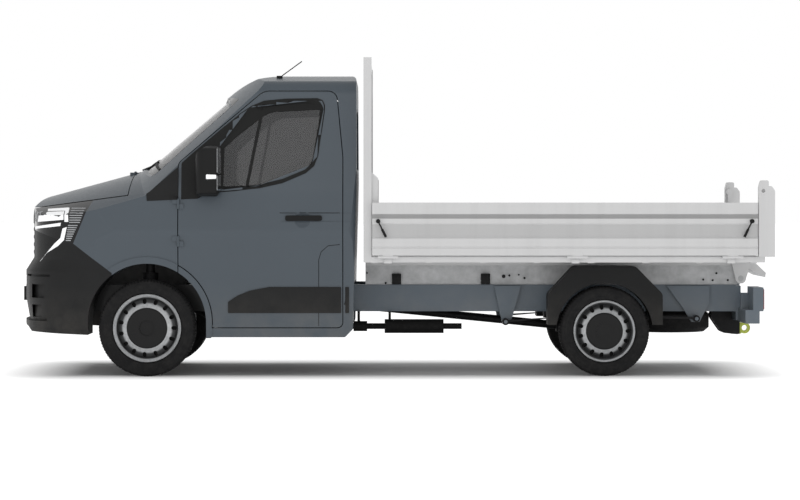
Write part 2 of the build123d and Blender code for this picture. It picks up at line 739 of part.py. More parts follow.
def make_grille_panel():
    """Panel between the headlamps with a row of slots under a bare badge place."""
    rows = [
        (NOSE_X - 50, GRILLE_BOTTOM_Z, 0),
        (NOSE_X - 50, shut_z(NOSE_X - 50), 0),
        (BAY_FRONT_X, shut_z(BAY_FRONT_X), 0),
        (BAY_FRONT_X, GRILLE_BOTTOM_Z, 0),
    ]
    panel = nose_form() & side_prism(rows, -LAMP_IN, LAMP_IN)
    for i in range(GRILLE_SLOTS):
        low = GRILLE_BOTTOM_Z + GRILLE_MARGIN + i * GRILLE_PITCH
        slot = block(NOSE_X - 50, BAY_FRONT_X + 50, -GRILLE_HALF, GRILLE_HALF, low, low + GRILLE_SLOT)
        panel = panel - slot
    return panel


def make_bumper():
    """Bumper that wraps from the grille to the front wheel arches."""
    corner = [
        (NOSE_X - 50, 0, 0),
        (SPLIT_LOW[0], 0, 0),
        (*SPLIT_LOW, 0),
        (*SPLIT_HIGH, 0),
        (*LAMP_HEEL, 0),
        (NOSE_X, LAMP_FRONT_Z, 0),
        (NOSE_X - 50, LAMP_FRONT_Z, 0),
    ]
    middle = block(NOSE_X - 50, BAY_FRONT_X, -LAMP_IN, LAMP_IN, 0, GRILLE_BOTTOM_Z)
    wrap = side_prism(corner, -CAB_HALF - 100, -LAMP_IN)
    bumper = nose_form() & (middle + wrap + across(wrap))
    bumper = bumper - engine_bay() - front_arches(ARCH_R)
    plate = block(NOSE_X, NOSE_X + 60, -PLATE_HALF, PLATE_HALF, PLATE_Z, PLATE_Z + PLATE_H)
    intake = block(NOSE_X - 50, BAY_FRONT_X + 50, -INTAKE_HALF, INTAKE_HALF,
                   INTAKE_Z, INTAKE_Z + INTAKE_H)
    front = block(NOSE_X - 50, CHIN_REAR_X, -CAB_HALF, CAB_HALF, LIP_TOP_Z, CHIN_TOP_Z)
    chin = front - plan_taper(PLAN, LIP_TOP_Z, CHIN_IN, PLAN, CHIN_TOP_Z, 0)
    bumper = bumper - intake - chin + plate
    for x0, x1, low, high, depth in BUMPER_POCKETS:
        pocket = block(x0, x1, -CAB_HALF - 50, -LAMP_IN, low, high) - nose_form(depth)
        bumper = bumper - pocket - across(pocket)
    return bumper


def make_mirror():
    """Left door mirror: a tall rounded housing on a short arm from the door's front corner."""
    plan = [
        (MIRROR_FRONT_X, -MIRROR_IN, 30),
        (MIRROR_FRONT_X + 25, -MIRROR_OUT, 60),
        (MIRROR_REAR_X - 30, -MIRROR_OUT, 20),
        (MIRROR_REAR_X, -MIRROR_IN, 20),
    ]
    front = [
        (-MIRROR_OUT - 20, MIRROR_BOTTOM_Z + 30, 50),
        (-MIRROR_OUT - 20, MIRROR_TOP_Z - 25, 60),
        (-MIRROR_IN + 20, MIRROR_TOP_Z, 40),
        (-MIRROR_IN + 20, MIRROR_BOTTOM_Z, 40),
    ]
    housing = plan_prism(plan, MIRROR_BOTTOM_Z, MIRROR_TOP_Z)
    housing = housing & cross_prism(front, MIRROR_FRONT_X - 10, MIRROR_REAR_X + 10)
    side = [
        (MIRROR_FRONT_X + 10, MIRROR_BOTTOM_Z, 40),
        (MIRROR_FRONT_X - 10, MIRROR_TOP_Z - 150, 70),
        (MIRROR_FRONT_X + 25, MIRROR_TOP_Z - 55, 50),
        (MIRROR_FRONT_X + 105, MIRROR_TOP_Z, 60),
        (MIRROR_REAR_X - 12, MIRROR_TOP_Z, 25),
        (MIRROR_REAR_X, MIRROR_BOTTOM_Z + 60, 40),
        (MIRROR_REAR_X - 40, MIRROR_BOTTOM_Z, 30),
    ]
    housing = housing & side_prism(side, -MIRROR_OUT - 10, -MIRROR_IN + 10)
    arm = block(MIRROR_FRONT_X + 40, MIRROR_FRONT_X + 140, -MIRROR_IN - 20, -CAB_HALF + 100,
                MIRROR_BOTTOM_Z + 60, MIRROR_BOTTOM_Z + 150)
    return (housing + arm) - cross_prism(SECTION, 0, CAB_REAR_X, -SEAT)


def make_dashboard():
    """Dashboard on the shelf behind the firewall, with the steering column."""
    rows = [
        (110, DASH_SHELF_Z, 0),
        (110, 1440, 40),
        (430, 1500, 60),
        (560, 1420, 50),
        (520, 1250, 60),
        (470, DASH_SHELF_Z, 0),
    ]
    dash = side_prism(rows, -DASH_HALF, DASH_HALF)
    start = Vector(*WHEEL_HUB) - COLUMN_DIR * 320
    end = Vector(*WHEEL_HUB) - COLUMN_DIR * (24 + SEAT)
    return dash + bar(start, end, 36)


def make_steering_wheel():
    """Steering wheel: rim, three spokes and a hub square to the column."""
    plane = Plane(origin=WHEEL_HUB, x_dir=(0, 1, 0), z_dir=COLUMN_DIR)
    wheel = Torus(STEER_WHEEL_R, 16) + Cylinder(62, 48)
    for turn in (0, 180, 270):
        spoke = Rot(0, 0, turn) * Pos(STEER_WHEEL_R / 2, 0, 0) * Box(STEER_WHEEL_R - 12, 34, 16)
        wheel = wheel + spoke
    return plane * wheel


def make_seats():
    """Driver's seat and a double bench, each with a base, a cushion and a backrest."""
    solids = []
    for y0, y1 in SEAT_PLACES:
        cushion = [
            (960, 940, 20), (940, 1060, 50), (1400, 1030, 30), (1380, 940, 0),
        ]
        back = [
            (1380, 940, 0), (1400, 1030, 0), (1440, 1780, 40), (1530, 1780, 40), (1540, 1000, 40),
        ]
        seat = side_prism(cushion, y0, y1) + side_prism(back, y0, y1)
        seat = seat + block(1000, 1360, y0 + 60, y1 - 60, FLOOR_Z, 945)
        solids = solids + list(seat.solids())
    return solids


def make_engine():
    """Engine and gearbox as one plain mass, hung between the rails."""
    engine = block(-560, 240, -270, 270, 520, 1120)
    engine = engine + block(240, GEARBOX_END_X, -150, 150, 500, 690)
    feet = block(-120, 0, -RAIL_IN + SEAT, RAIL_IN - SEAT, 560, 640)
    return engine + feet


def make_chassis():
    """Ladder frame: channel rails, cross members, cab mounts and spring hangers."""
    rail = block(RAIL_FRONT_X, RAIL_REAR_X, -RAIL_OUT, -RAIL_IN, RAIL_BOTTOM_Z, RAIL_TOP_Z)
    rail = rail - block(RAIL_FRONT_X - 10, RAIL_REAR_X + 10, -RAIL_OUT + RAIL_WALL, -RAIL_IN + 10,
                        RAIL_BOTTOM_Z + RAIL_WALL, RAIL_TOP_Z - RAIL_WALL)
    for x in CAB_MOUNTS_X:
        rail = rail + block(x - 40, x + 40, -RAIL_OUT, -RAIL_IN, RAIL_TOP_Z, UNDER_FLOOR_Z)
    for rows, eye_x, eye_z in SPRING_HANGERS:
        hanger = [(eye_x + x, z, r) for x, z, r in rows]
        rail = rail + side_prism(hanger, -RAIL_OUT - HANGER_T, -RAIL_OUT)
        rail = rail + bar_y(eye_x, eye_z, SPRING_BOLT_R, -SPRING_Y - 50, -RAIL_OUT)
    frame = rail + across(rail)
    for x, low in CROSS_MEMBERS:
        frame = frame + block(x - 35, x + 35, -RAIL_OUT + RAIL_WALL, RAIL_OUT - RAIL_WALL,
                              low, RAIL_TOP_Z - RAIL_WALL)
    return frame


def make_subframe():
    """Tipper subframe on the rails, with trunnion plates and the tipping bearings."""
    low = RAIL_TOP_Z + SEAT
    rail = block(SUBFRAME_FRONT_X, SUBFRAME_REAR_X, -SUBFRAME_OUT, -SUBFRAME_IN, low, SUBFRAME_TOP_Z)
    rail = rail + bar_y(TIP_X, TIP_Z, TIP_BOSS_R, -SUBFRAME_OUT, -SUBFRAME_IN)
    rail = rail + block(SUBFRAME_REAR_X - 50, TIP_X, -SUBFRAME_OUT, -SUBFRAME_IN, low + 6, 790)
    rail = rail + bar_y(TIP_X, TIP_Z, TIP_PIN_R, -TIP_EAR_OUT, -SUBFRAME_IN)
    for x0, x1 in SUBFRAME_SLOTS:
        rail = rail - block(x0, x1, -SUBFRAME_OUT - 5, -SUBFRAME_IN + 5, low - 5, 784)
    frame = rail + across(rail)
    for x in SUBFRAME_BEAMS:
        frame = frame + block(x - 20, x + 20, -SUBFRAME_IN - 5, SUBFRAME_IN + 5, 715, 830)
    front, rear = SUBFRAME_BEAMS[1], SUBFRAME_BEAMS[2]
    plate = block(front, rear, -TRUNNION_OUT, -TRUNNION_IN, TRUNNION_Z - 55, 760)
    plate = plate - bar_y(HOIST_X, TRUNNION_Z, TRUNNION_R + SEAT, -TRUNNION_OUT - 5, 0)
    return frame + plate + across(plate)


def make_front_suspension():
    """Cross member under the rails with wishbones and dampers on both sides."""
    half = ARCH_INNER
    side = block(-90, 90, -half, 0, 400, RAIL_BOTTOM_Z)
    side = side + block(-80, 80, -half, -RAIL_OUT, RAIL_BOTTOM_Z, ARM_HIGH_Z + 30)
    side = side + block(-90, 90, -470, -410, ARM_LOW_Z, 410)
    wishbone = [(-120, -440, 20), (120, -440, 20), (40, -KINGPIN_Y - 36, 34), (-40, -KINGPIN_Y - 36, 34)]
    side = side + plan_prism(wishbone, ARM_LOW_Z, ARM_LOW_Z + ARM_T)
    link = [(-80, -500, 10), (80, -500, 10), (34, -KINGPIN_Y - 32, 30), (-34, -KINGPIN_Y - 32, 30)]
    side = side + plan_prism(link, ARM_HIGH_Z, ARM_HIGH_Z + ARM_T)
    damper = bar((0, -DAMPER_Y, ARM_LOW_Z + 10), (0, -DAMPER_Y, ARCH_Z + ARCH_R - 2.5), 36)
    spring = bar((0, -DAMPER_Y, 560), (0, -DAMPER_Y, 800), 62)
    side = side + damper + spring
    return side + across(side)


def make_knuckle():
    """Left knuckle: upright between the wishbones, hub and steering arm."""
    low = ARM_LOW_Z + ARM_T + SEAT
    high = ARM_HIGH_Z - SEAT
    knuckle = bar((0, -KINGPIN_Y, low), (0, -KINGPIN_Y, high), 34)
    pad = FRONT_TRACK_OUT - RIM_PAD - SEAT
    knuckle = knuckle + bar_y(0, FRONT_TYRE_R, 105, -pad, -pad + 40)
    knuckle = knuckle + bar_y(0, FRONT_TYRE_R, 62, -pad + 40, -KINGPIN_Y + 20)
    return knuckle + block(0, 140, -KINGPIN_Y - 10, -KINGPIN_Y + 15, 290, 330)


def tyre_form(radius, rim_r):
    """Tyre on the y axis, its outer side towards negative y."""
    half = TYRE_W / 2
    bead = rim_r - BEAD_DROP
    side = [
        (bead, half - 24), (rim_r + 2, half - 24), (rim_r + 14, half - 4),
        (radius - 45, half), (radius - 12, half - 12), (radius, half - 32),
    ]
    rows = [(r, -y) for r, y in side] + [(r, y) for r, y in reversed(side)]
    return revolve(make_face(Polyline(*rows, close=True)), axis=Axis.Y)


def rim_form(rim_r, recessed):
    """Steel disc rim with oval vents and a hub cover, its outer side towards negative y.

    A recessed cover has an eight-sided well, any other one a low round cap.
    """
    half = TYRE_W / 2
    bead = rim_r - BEAD_DROP
    lip = half - 24 + SEAT
    vent_out = bead - 22
    vent_in = rim_r * 0.70
    cover = rim_r * 0.60
    face = -half
    rows = [
        (0, face + 4), (cover - 10, face + 4),
        (cover, face + 12), (vent_in, face + 32), (vent_out, face + 60), (bead - 14, face + 36),
        (rim_r - 4, face + 10), (rim_r, face + 13), (rim_r, -lip), (bead - SEAT, -lip),
        (bead - SEAT, lip), (rim_r, lip), (rim_r, half - 10), (bead - 14, half - 10),
        (bead - 14, face + 74), (vent_out - 4, face + 74), (cover, face + 38),
        (HUB_PAD_R, face + RIM_PAD), (0, face + RIM_PAD),
    ]
    rim = revolve(make_face(Polyline(*rows, close=True)), axis=Axis.Y)
    outside = Plane(origin=(0, face, 0), x_dir=(1, 0, 0), z_dir=(0, 1, 0))
    if recessed:
        rim = rim - extrude(outside * RegularPolygon(HUB_CAP_R, 8), amount=HUB_RECESS + 4, dir=(0, 1, 0))
    else:
        rim = rim + bar_y(0, 0, HUB_CAP_R, face + 4 - HUB_CAP_RISE, face + 8)
    middle = (vent_in + vent_out) / 2
    vents = PolarLocations(middle, RIM_HOLES) * SlotCenterToCenter(VENT_RUN, VENT_W)
    return rim - extrude(outside * Sketch(vents), amount=120, dir=(0, 1, 0))


def placed_wheel(form, x, z, outer):
    """A left wheel piece moved so that its outer side stands at the given half track."""
    return Pos(x, -outer + TYRE_W / 2, z) * form


def make_rear_axle():
    """Rear axle: tube, differential housing with its pinion nose, and drums."""
    z = REAR_TYRE_R
    pad = REAR_TRACK_OUT - RIM_PAD - SEAT
    axle = bar_y(WHEELBASE, z, AXLE_R, -pad + 30, pad - 30)
    axle = axle + Pos(WHEELBASE, 0, z) * Sphere(DIFF_R)
    axle = axle + bar((WHEELBASE, 0, z), (PINION_X, 0, z), 62)
    for side in (-1, 1):
        axle = axle + bar_y(WHEELBASE, z, HUB_PAD_R - 5, side * (pad - 90), side * pad)
        axle = axle + block(WHEELBASE - 60, WHEELBASE + 60, side * (SPRING_Y - 35), side * (SPRING_Y + 35),
                            z, SPRING_SEAT_Z)
    return axle


def make_springs():
    """Leaf springs: a stack that steps down to the axle, with an eye at each end."""
    front_x, front_z = SPRING_FRONT
    rear_x, rear_z = SPRING_REAR
    seat = SPRING_SEAT_Z + SEAT
    stack = [
        (front_x, front_z + 12, 0), (WHEELBASE, seat + 52, 3000), (rear_x, rear_z + 12, 0),
        (rear_x, rear_z - 4, 0), (WHEELBASE + 420, seat + 22, 0), (WHEELBASE + 400, seat + 12, 0),
        (WHEELBASE + 240, seat + 10, 0), (WHEELBASE + 220, seat, 0), (WHEELBASE - 220, seat, 0),
        (WHEELBASE - 240, seat + 10, 0), (WHEELBASE - 400, seat + 12, 0),
        (WHEELBASE - 420, seat + 22, 0), (front_x, front_z - 4, 0),
    ]
    y0 = -SPRING_Y - SPRING_W / 2
    y1 = -SPRING_Y + SPRING_W / 2
    spring = side_prism(stack, y0, y1)
    for x, z in (SPRING_FRONT, SPRING_REAR):
        spring = spring + bar_y(x, z, SPRING_EYE_R, y0, y1)
    for x, z in (SPRING_FRONT, SPRING_REAR):
        spring = spring - bar_y(x, z, SPRING_BOLT_R + SEAT, y0 - 5, y1 + 5)
    return pair(spring)


def make_prop_shaft():
    """Propeller shaft from the gearbox to the axle's pinion: a tube between two joints."""
    start = Vector(GEARBOX_END_X + SEAT, 0, GEARBOX_Z)
    end = Vector(PINION_X - SEAT, 0, REAR_TYRE_R)
    joint = Vector(SHAFT_JOINT_L, 0, 0)
    front = bar(start, start + joint, SHAFT_JOINT_R)
    rear = bar(end - joint, end, SHAFT_JOINT_R)
    between = block(start.X + SHAFT_JOINT_L + SEAT, end.X - SHAFT_JOINT_L - SEAT,
                    -SHAFT_JOINT_R, SHAFT_JOINT_R, 0, ROOF_Z)
    return [front, bar(start, end, SHAFT_R) & between, rear]


def make_exhaust():
    """Exhaust down the left side: front pipe, catalyst, silencer and tail pipe."""
    y = -EXHAUST_Y
    z = EXHAUST_Z
    pipe = bar((250, -272, 530), (620, y, z), 24) + bar((610, y, z), (EXHAUST_END_X, y, z), 23)
    for before, after, radius in EXHAUST_CANS:
        x0 = EXHAUST_END_X - before
        pipe = pipe + bar((x0, y, z), (EXHAUST_END_X - after, y, z), radius)
        pipe = pipe + block(x0 + 30, x0 + 50, y, -RAIL_OUT + 10, z, RAIL_BOTTOM_Z)
    return pipe


def make_fuel_tank():
    """Fuel tank beside the right rail under the cab."""
    rows = [(TANK_IN, 345, 60), (TANK_OUT, 345, 90), (TANK_OUT, 685, 60), (TANK_IN, 685, 40)]
    return cross_prism(rows, TANK_FRONT_X, TANK_REAR_X)


def make_mudguards():
    """Flat-topped rear mudguards over the wheels, on stays from the subframe."""
    rows = [
        (GUARD_FRONT_X, GUARD_LOW_Z, 0), (GUARD_FRONT_X, 640, 60), (GUARD_FRONT_X + 202, GUARD_TOP_Z, 60),
        (GUARD_REAR_X - 213, GUARD_TOP_Z, 60), (GUARD_REAR_X, 640, 60), (GUARD_REAR_X, GUARD_LOW_Z, 0),
    ]
    guard = side_prism(rows, -GUARD_OUT, -GUARD_IN)
    guard = guard - bar_y(WHEELBASE, REAR_TYRE_R, GUARD_R, -GUARD_OUT - 5, -GUARD_IN + 5)
    guard = guard - block(WHEELBASE - GUARD_R, WHEELBASE + GUARD_R, -GUARD_OUT - 5, -GUARD_IN + 5,
                          0, REAR_TYRE_R)
    for x in (WHEELBASE - 130, WHEELBASE + 130):
        guard = guard + bar_y(x, GUARD_TOP_Z - 70, 14, -GUARD_IN - 10, -SUBFRAME_OUT - SEAT)
    return pair(guard)


def make_rear_lamps():
    """Under-run beam on brackets from the rail ends, with a lamp box at each side."""
    beam = block(LAMP_BOARD_X, LAMP_BOARD_X + 110, -LAMP_BOARD_HALF, LAMP_BOARD_HALF, LAMP_BEAM_Z, 515)
    for side in (-1, 1):
        foot = block(RAIL_REAR_X + SEAT, LAMP_BOARD_X + 20, side * RAIL_IN, side * RAIL_OUT, 420, 690)
        lamp = block(LAMP_BOARD_X + 60, LAMP_BOARD_X + 140, side * 580, side * LAMP_BOARD_HALF, 505, 690)
        stay = block(LAMP_BOARD_X, LAMP_BOARD_X + 70, side * 600, side * 660, 505, 640)
        beam = beam + foot + lamp + stay
    return beam


def make_tow_bracket():
    """Tow bracket: cheek plates down from the rear cross member to a head block."""
    under = LAMP_BEAM_Z - SEAT
    front = LAMP_BOARD_X - SEAT
    cheek = [
        (TOW_HEAD_X - 206, REAR_MEMBER_Z - SEAT, 0), (front, REAR_MEMBER_Z - SEAT, 0),
        (front, under, 0), (TOW_HEAD_X, under, 0), (TOW_HEAD_X, 285, 20),
        (TOW_HEAD_X - 146, 300, 60), (TOW_HEAD_X - 236, 430, 40),
    ]
    bracket = block(TOW_HEAD_X - 66, TOW_HEAD_X, -95, 95, TOW_EYE_Z - 46, TOW_EYE_Z + 54)
    for y in (-95, 65):
        bracket = bracket + side_prism(cheek, y, y + 30)
    return bracket


def make_tow_eye():
    """Tow eye with a cross bore, on a flange against the bracket's head."""
    eye_x = TOW_EYE_X
    z = TOW_EYE_Z
    eye = bar_y(eye_x, z, TOW_EYE_R, -TOW_EYE_HALF, TOW_EYE_HALF)
    eye = eye + block(TOW_HEAD_X + SEAT, eye_x, -TOW_EYE_HALF, TOW_EYE_HALF, z - 30, z + 30)
    eye = eye + block(TOW_HEAD_X + SEAT, TOW_HEAD_X + 18, -60, 60, z - 45, z + 45)
    return eye - bar_y(eye_x, z, TOW_BORE_R, -80, 80)


def make_spare_wheel():
    """Spare wheel laid flat under the frame, hung from a cross member."""
    rows = [
        (0, SPARE_Z + 70), (150, SPARE_Z + 70), (200, SPARE_Z + 30), (REAR_RIM_R, SPARE_Z + 20),
        (REAR_RIM_R + 14, SPARE_Z), (SPARE_R - 40, SPARE_Z), (SPARE_R, SPARE_Z + 34),
        (SPARE_R, SPARE_Z + SPARE_H - 34), (SPARE_R - 40, SPARE_Z + SPARE_H),
        (REAR_RIM_R + 14, SPARE_Z + SPARE_H), (REAR_RIM_R, SPARE_Z + SPARE_H - 20),
        (200, SPARE_Z + 60), (150, SPARE_Z + 90), (30, SPARE_Z + 90), (30, SPARE_MEMBER_Z - SEAT),
        (0, SPARE_MEMBER_Z - SEAT),
    ]
    section = Plane.XZ * make_face(Polyline(*rows, close=True))
    return Pos(SPARE_X, 0, 0) * revolve(section, axis=Axis.Z)


def make_bed_floor():
    """Bed floor: plate, edge rails, bearers, tipping ears, hoist bracket and spill apron."""
    low = BED_TOP_Z - FLOOR_PLATE_T
    floor = block(BED_FRONT_X, BED_REAR_X, -BED_HALF, BED_HALF, low, BED_BASE_Z)
    floor = floor + block(SIDE_FRONT_X, SIDE_REAR_X, -DECK_HALF, DECK_HALF, BED_BASE_Z, BED_TOP_Z)
    side = block(BED_FRONT_X, BED_REAR_X, -BED_HALF, -BED_HALF + 45, EDGE_RAIL_Z, low)
    side = side + block(SUBFRAME_FRONT_X, SUBFRAME_REAR_X + 80, -SUBFRAME_OUT, -SUBFRAME_IN,
                        SUBFRAME_TOP_Z + SEAT, low)
    ear = [
        (TIP_X - 80, low, 0), (TIP_X + 90, low, 0),
        (TIP_X + 36, TIP_Z - 20, 0), (TIP_X - 36, TIP_Z - 20, 0),
    ]
    plate = side_prism(ear, -TIP_EAR_OUT, -TIP_EAR_IN)
    plate = plate + bar_y(TIP_X, TIP_Z, TIP_BOSS_R, -TIP_EAR_OUT, -TIP_EAR_IN)
    plate = plate - block(TIP_X - 90, TIP_X + 90, -TIP_EAR_OUT - 5, 0, 0, TIP_Z - TIP_BOSS_R + 1)
    side = side + plate - bar_y(TIP_X, TIP_Z, TIP_PIN_R + SEAT, -TIP_EAR_OUT - 5, -TIP_EAR_IN + 5)
    for x in HINGES_X:
        for x0 in (x - HINGE_LENGTH, x + HINGE_LENGTH / 2 + SEAT):
            x1 = x0 + HINGE_LENGTH / 2 - SEAT
            side = side + block(x0, x1, -HINGE_Y, -BED_HALF, HINGE_Z - HINGE_R, HINGE_Z)
            side = side + bar((x0, -HINGE_Y, HINGE_Z), (x1, -HINGE_Y, HINGE_Z), HINGE_R)
    floor = floor + side + across(side)
    for i in range(BEARERS):
        x = BED_FRONT_X + 60 + i * (BED_REAR_X - BED_FRONT_X - 170) / (BEARERS - 1)
        floor = floor + block(x, x + 50, -BED_HALF + 20, BED_HALF - 20, EDGE_RAIL_Z - 6, low)
    bracket = [
        (HOIST_X - 90, low, 0), (HOIST_X + 90, low, 0),
        (HOIST_X + 70, CHEEK_Z, 0), (HOIST_X - 70, CHEEK_Z, 0),
    ]
    for y in (-75, 45):
        cheek = side_prism(bracket, y, y + 30) - bar_y(HOIST_X, HOIST_EYE_Z, HOIST_SLOT_R, y - 5, y + 35)
        floor = floor + cheek
    apron = [
        (TIP_X + 30, low, 0), (BED_REAR_X - 20, low, 0), (APRON_X, 790, 0), (APRON_X - 6, 755, 0),
        (TIP_X + 40, 840, 0),
    ]
    return floor + side_prism(apron, -APRON_HALF, APRON_HALF)


def make_headboard():
    """Headboard: posts with gussets, a lower panel and an open grid above it."""
    rear = BED_FRONT_X + POST_W
    post = block(BED_FRONT_X, rear, -BED_HALF, -BED_HALF + POST_W, BED_BASE_Z, HEADBOARD_TOP_Z)
    gusset = [(rear, BED_BASE_Z, 0), (rear + 50, BED_BASE_Z, 0), (rear + 50, 1540, 0), (rear, PANEL_TOP_Z, 0)]
    post = post + side_prism(gusset, -BED_HALF + 20, -BED_HALF + 50)
    board = post + across(post)
    inner = BED_HALF - POST_W + 5
    middle = BED_FRONT_X + POST_W / 2
    board = board + block(middle - 12, middle + 12, -inner, inner, BED_BASE_Z, PANEL_TOP_Z)
    for z in (PANEL_TOP_Z - 40, HEADBOARD_TOP_Z - 50):
        board = board + block(middle - 25, middle + 25, -inner, inner, z, z + 50)
    for i in range(GRID_BARS):
        y = -inner + (i + 1) * 2 * inner / (GRID_BARS + 1)
        board = board + block(middle - 8, middle + 8, y - 12, y + 12, PANEL_TOP_Z, HEADBOARD_TOP_Z - 40)
    return board


def make_rear_posts():
    """Corner posts at the rear of the bed, with a bore for the tailgate's pins."""
    rows = [
        (POST_FRONT_X, BED_BASE_Z, 0), (POST_REAR_X, BED_BASE_Z, 0), (POST_REAR_X, 1440, 20),
        (POST_REAR_X - 25, 1477, 20), (POST_REAR_X - 48, 1477, 0), (POST_REAR_X - 48, POST_TOP_Z, 15),
        (POST_FRONT_X + 14, POST_TOP_Z, 15), (POST_FRONT_X, 1470, 20),
    ]
    post = side_prism(rows, -POST_OUT, -POST_IN)
    return pair(post - bar_y(GATE_PIN_X, GATE_PIN_Z, GATE_PIN_R + SEAT, -POST_OUT - 5, -POST_IN + 5))


def make_dropside():
    """Left dropside: a rolled wall profile with hinge knuckles along its lower edge."""
    outer = -SIDE_OUT
    inner = -SIDE_OUT + SIDE_T
    rows = [(inner, SIDE_BOTTOM_Z, 0), (inner, SIDE_TOP_Z, 0), (outer, SIDE_TOP_Z, 0)]
    rows = rows + [(outer + depth, z, 0) for depth, z in SIDE_FACE] + [(outer, SIDE_BOTTOM_Z, 0)]
    wall = cross_prism(rows, SIDE_FRONT_X, SIDE_REAR_X)
    for x in HINGES_X:
        x0 = x - HINGE_LENGTH / 2
        x1 = x + HINGE_LENGTH / 2
        wall = wall + bar((x0, -HINGE_Y, HINGE_Z), (x1, -HINGE_Y, HINGE_Z), HINGE_R)
        wall = wall + block(x0, x1, -HINGE_Y - 5, -HINGE_Y + 9, HINGE_Z, SIDE_BOTTOM_Z + 5)
    return wall


def make_side_latches():
    """Latch levers at both ends of the left dropside: a boss, a bent bar and a grip."""
    face = -SIDE_OUT + STRIP_DEPTH - SEAT
    y = -SIDE_OUT - LATCH_OUT + LATCH_GRIP_R
    solids = []
    for x, lean in ((SIDE_FRONT_X + LATCH_INSET, 1), (SIDE_REAR_X - LATCH_INSET, -1)):
        end = Vector(x + lean * LATCH_RUN, y, LATCH_Z - LATCH_DROP)
        start = Vector(x, y, LATCH_Z)
        middle = (start + end) / 2
        latch = bar_y(x, LATCH_Z, LATCH_BOSS_R, -SIDE_OUT - LATCH_OUT, face)
        latch = latch + bar(start, end, LATCH_BAR_R) + bar(middle, end, LATCH_GRIP_R)
        solids = solids + list(latch.solids())
    return solids


def make_tailgate():
    """Tailgate hung from pins at the top of the rear posts."""
    front = GATE_PIN_X - SIDE_T / 2
    rear = GATE_PIN_X + SIDE_T / 2
    rows = [
        (front, SIDE_BOTTOM_Z), (front, SIDE_TOP_Z), (rear, SIDE_TOP_Z), (rear, 1259),
        (rear - 9, 1250), (rear - 9, 1090), (rear, 1071), (rear, SIDE_BOTTOM_Z),
    ]
    gate = side_prism([(x, z, 0) for x, z in rows], -GATE_HALF, GATE_HALF)
    ear = block(front, rear, -GATE_HALF, -GATE_HALF + 28, SIDE_TOP_Z - 5, GATE_PIN_Z)
    ear = ear + bar_y(GATE_PIN_X, GATE_PIN_Z, 26, -GATE_HALF, -GATE_HALF + 28)
    ear = ear + bar_y(GATE_PIN_X, GATE_PIN_Z, GATE_PIN_R, -POST_OUT + 20, -GATE_HALF)
    return gate + ear + across(ear)


def make_hoist(stage):
    """Barrel (stage 0) or a nested stage of the lift cylinder; the last one ends in an eye."""
    outer = HOIST_BORES[stage] / 2
    floor_z = HOIST_BOTTOM_Z + stage * 10
    tube = bar((HOIST_X, 0, floor_z), (HOIST_X, 0, HOIST_TOP_Z), outer)
    if stage + 1 < len(HOIST_BORES):
        bore = HOIST_BORES[stage + 1] / 2 + HOIST_CLEAR
        tube = tube - bar((HOIST_X, 0, floor_z + 10 - SEAT), (HOIST_X, 0, HOIST_TOP_Z + 5), bore)
    else:
        tube = tube + bar((HOIST_X, 0, HOIST_TOP_Z - 5), (HOIST_X, 0, HOIST_EYE_Z), 24)
        tube = tube + bar_y(HOIST_X, HOIST_EYE_Z, 34, -34, 34)
        tube = tube + bar_y(HOIST_X, HOIST_EYE_Z, HOIST_PIN_R, -68, 68)
    if stage == 0:
        trunnion = bar_y(HOIST_X, TRUNNION_Z, TRUNNION_R, -TRUNNION_OUT, -outer + 6)
        tube = tube + trunnion + across(trunnion)
    return tube


def all_pieces():
    """Every node's name with its shape or list of solids."""
    door = make_door()
    glass = make_door_glass()
    mirror_left = make_mirror()
    knuckle = make_knuckle()
    dropside = make_dropside()
    pieces = {
        "cab_shell": make_cab_shell(),
        "cab_glass": make_cab_glass(),
        "front_wings": make_wings(),
        "front_bumper": make_bumper(),
        "grille_panel": make_grille_panel(),
        "headlamps": make_headlamps(),
        "bonnet": make_bonnet(),
        "dashboard": make_dashboard(),
        "steering_wheel": make_steering_wheel(),
        "seats": make_seats(),
        "engine_block": make_engine(),
        "chassis_frame": make_chassis(),
        "tipper_subframe": make_subframe(),
        "front_suspension": make_front_suspension(),
        "rear_axle": make_rear_axle(),
        "leaf_springs": make_springs(),
        "prop_shaft": make_prop_shaft(),
        "exhaust": make_exhaust(),
        "fuel_tank": make_fuel_tank(),
        "mudguards": make_mudguards(),
        "rear_lamps": make_rear_lamps(),
        "tow_bracket": make_tow_bracket(),
        "tow_eye": make_tow_eye(),
        "spare_wheel": make_spare_wheel(),
        "bed_floor": make_bed_floor(),
        "headboard": make_headboard(),
        "rear_posts": make_rear_posts(),
        "tailgate": make_tailgate(),
        "antenna": make_antenna(),
    }
    latches = make_side_latches()
    pieces["side_latches_left"] = latches
    pieces["side_latches_right"] = [across(latch) for latch in latches]
    handed = {
        "door": door, "door_handle": handle_form(0), "door_glass": glass, "mirror": mirror_left,
        "knuckle": knuckle, "dropside": dropside,
    }
    for name, left in handed.items():
        pieces[name + "_left"] = left
        pieces[name + "_right"] = across(left)
    # Columns: place, x, tyre radius, rim radius, half track over the outer sides
    for place, x, radius, rim_r, outer in (
        ("front", 0.0, FRONT_TYRE_R, FRONT_RIM_R, FRONT_TRACK_OUT),
        ("rear", WHEELBASE, REAR_TYRE_R, REAR_RIM_R, REAR_TRACK_OUT),
    ):
        for kind, form in (("tyre", tyre_form(radius, rim_r)), ("rim", rim_form(rim_r, place == "front"))):
            left = placed_wheel(form, x, radius, outer)
            pieces[f"{kind}_{place}_left"] = left
            pieces[f"{kind}_{place}_right"] = across(left)
    for stage in range(len(HOIST_BORES)):
        name = "hoist_barrel" if stage == 0 else f"hoist_stage_{stage}"
        pieces[name] = make_hoist(stage)
    return pieces


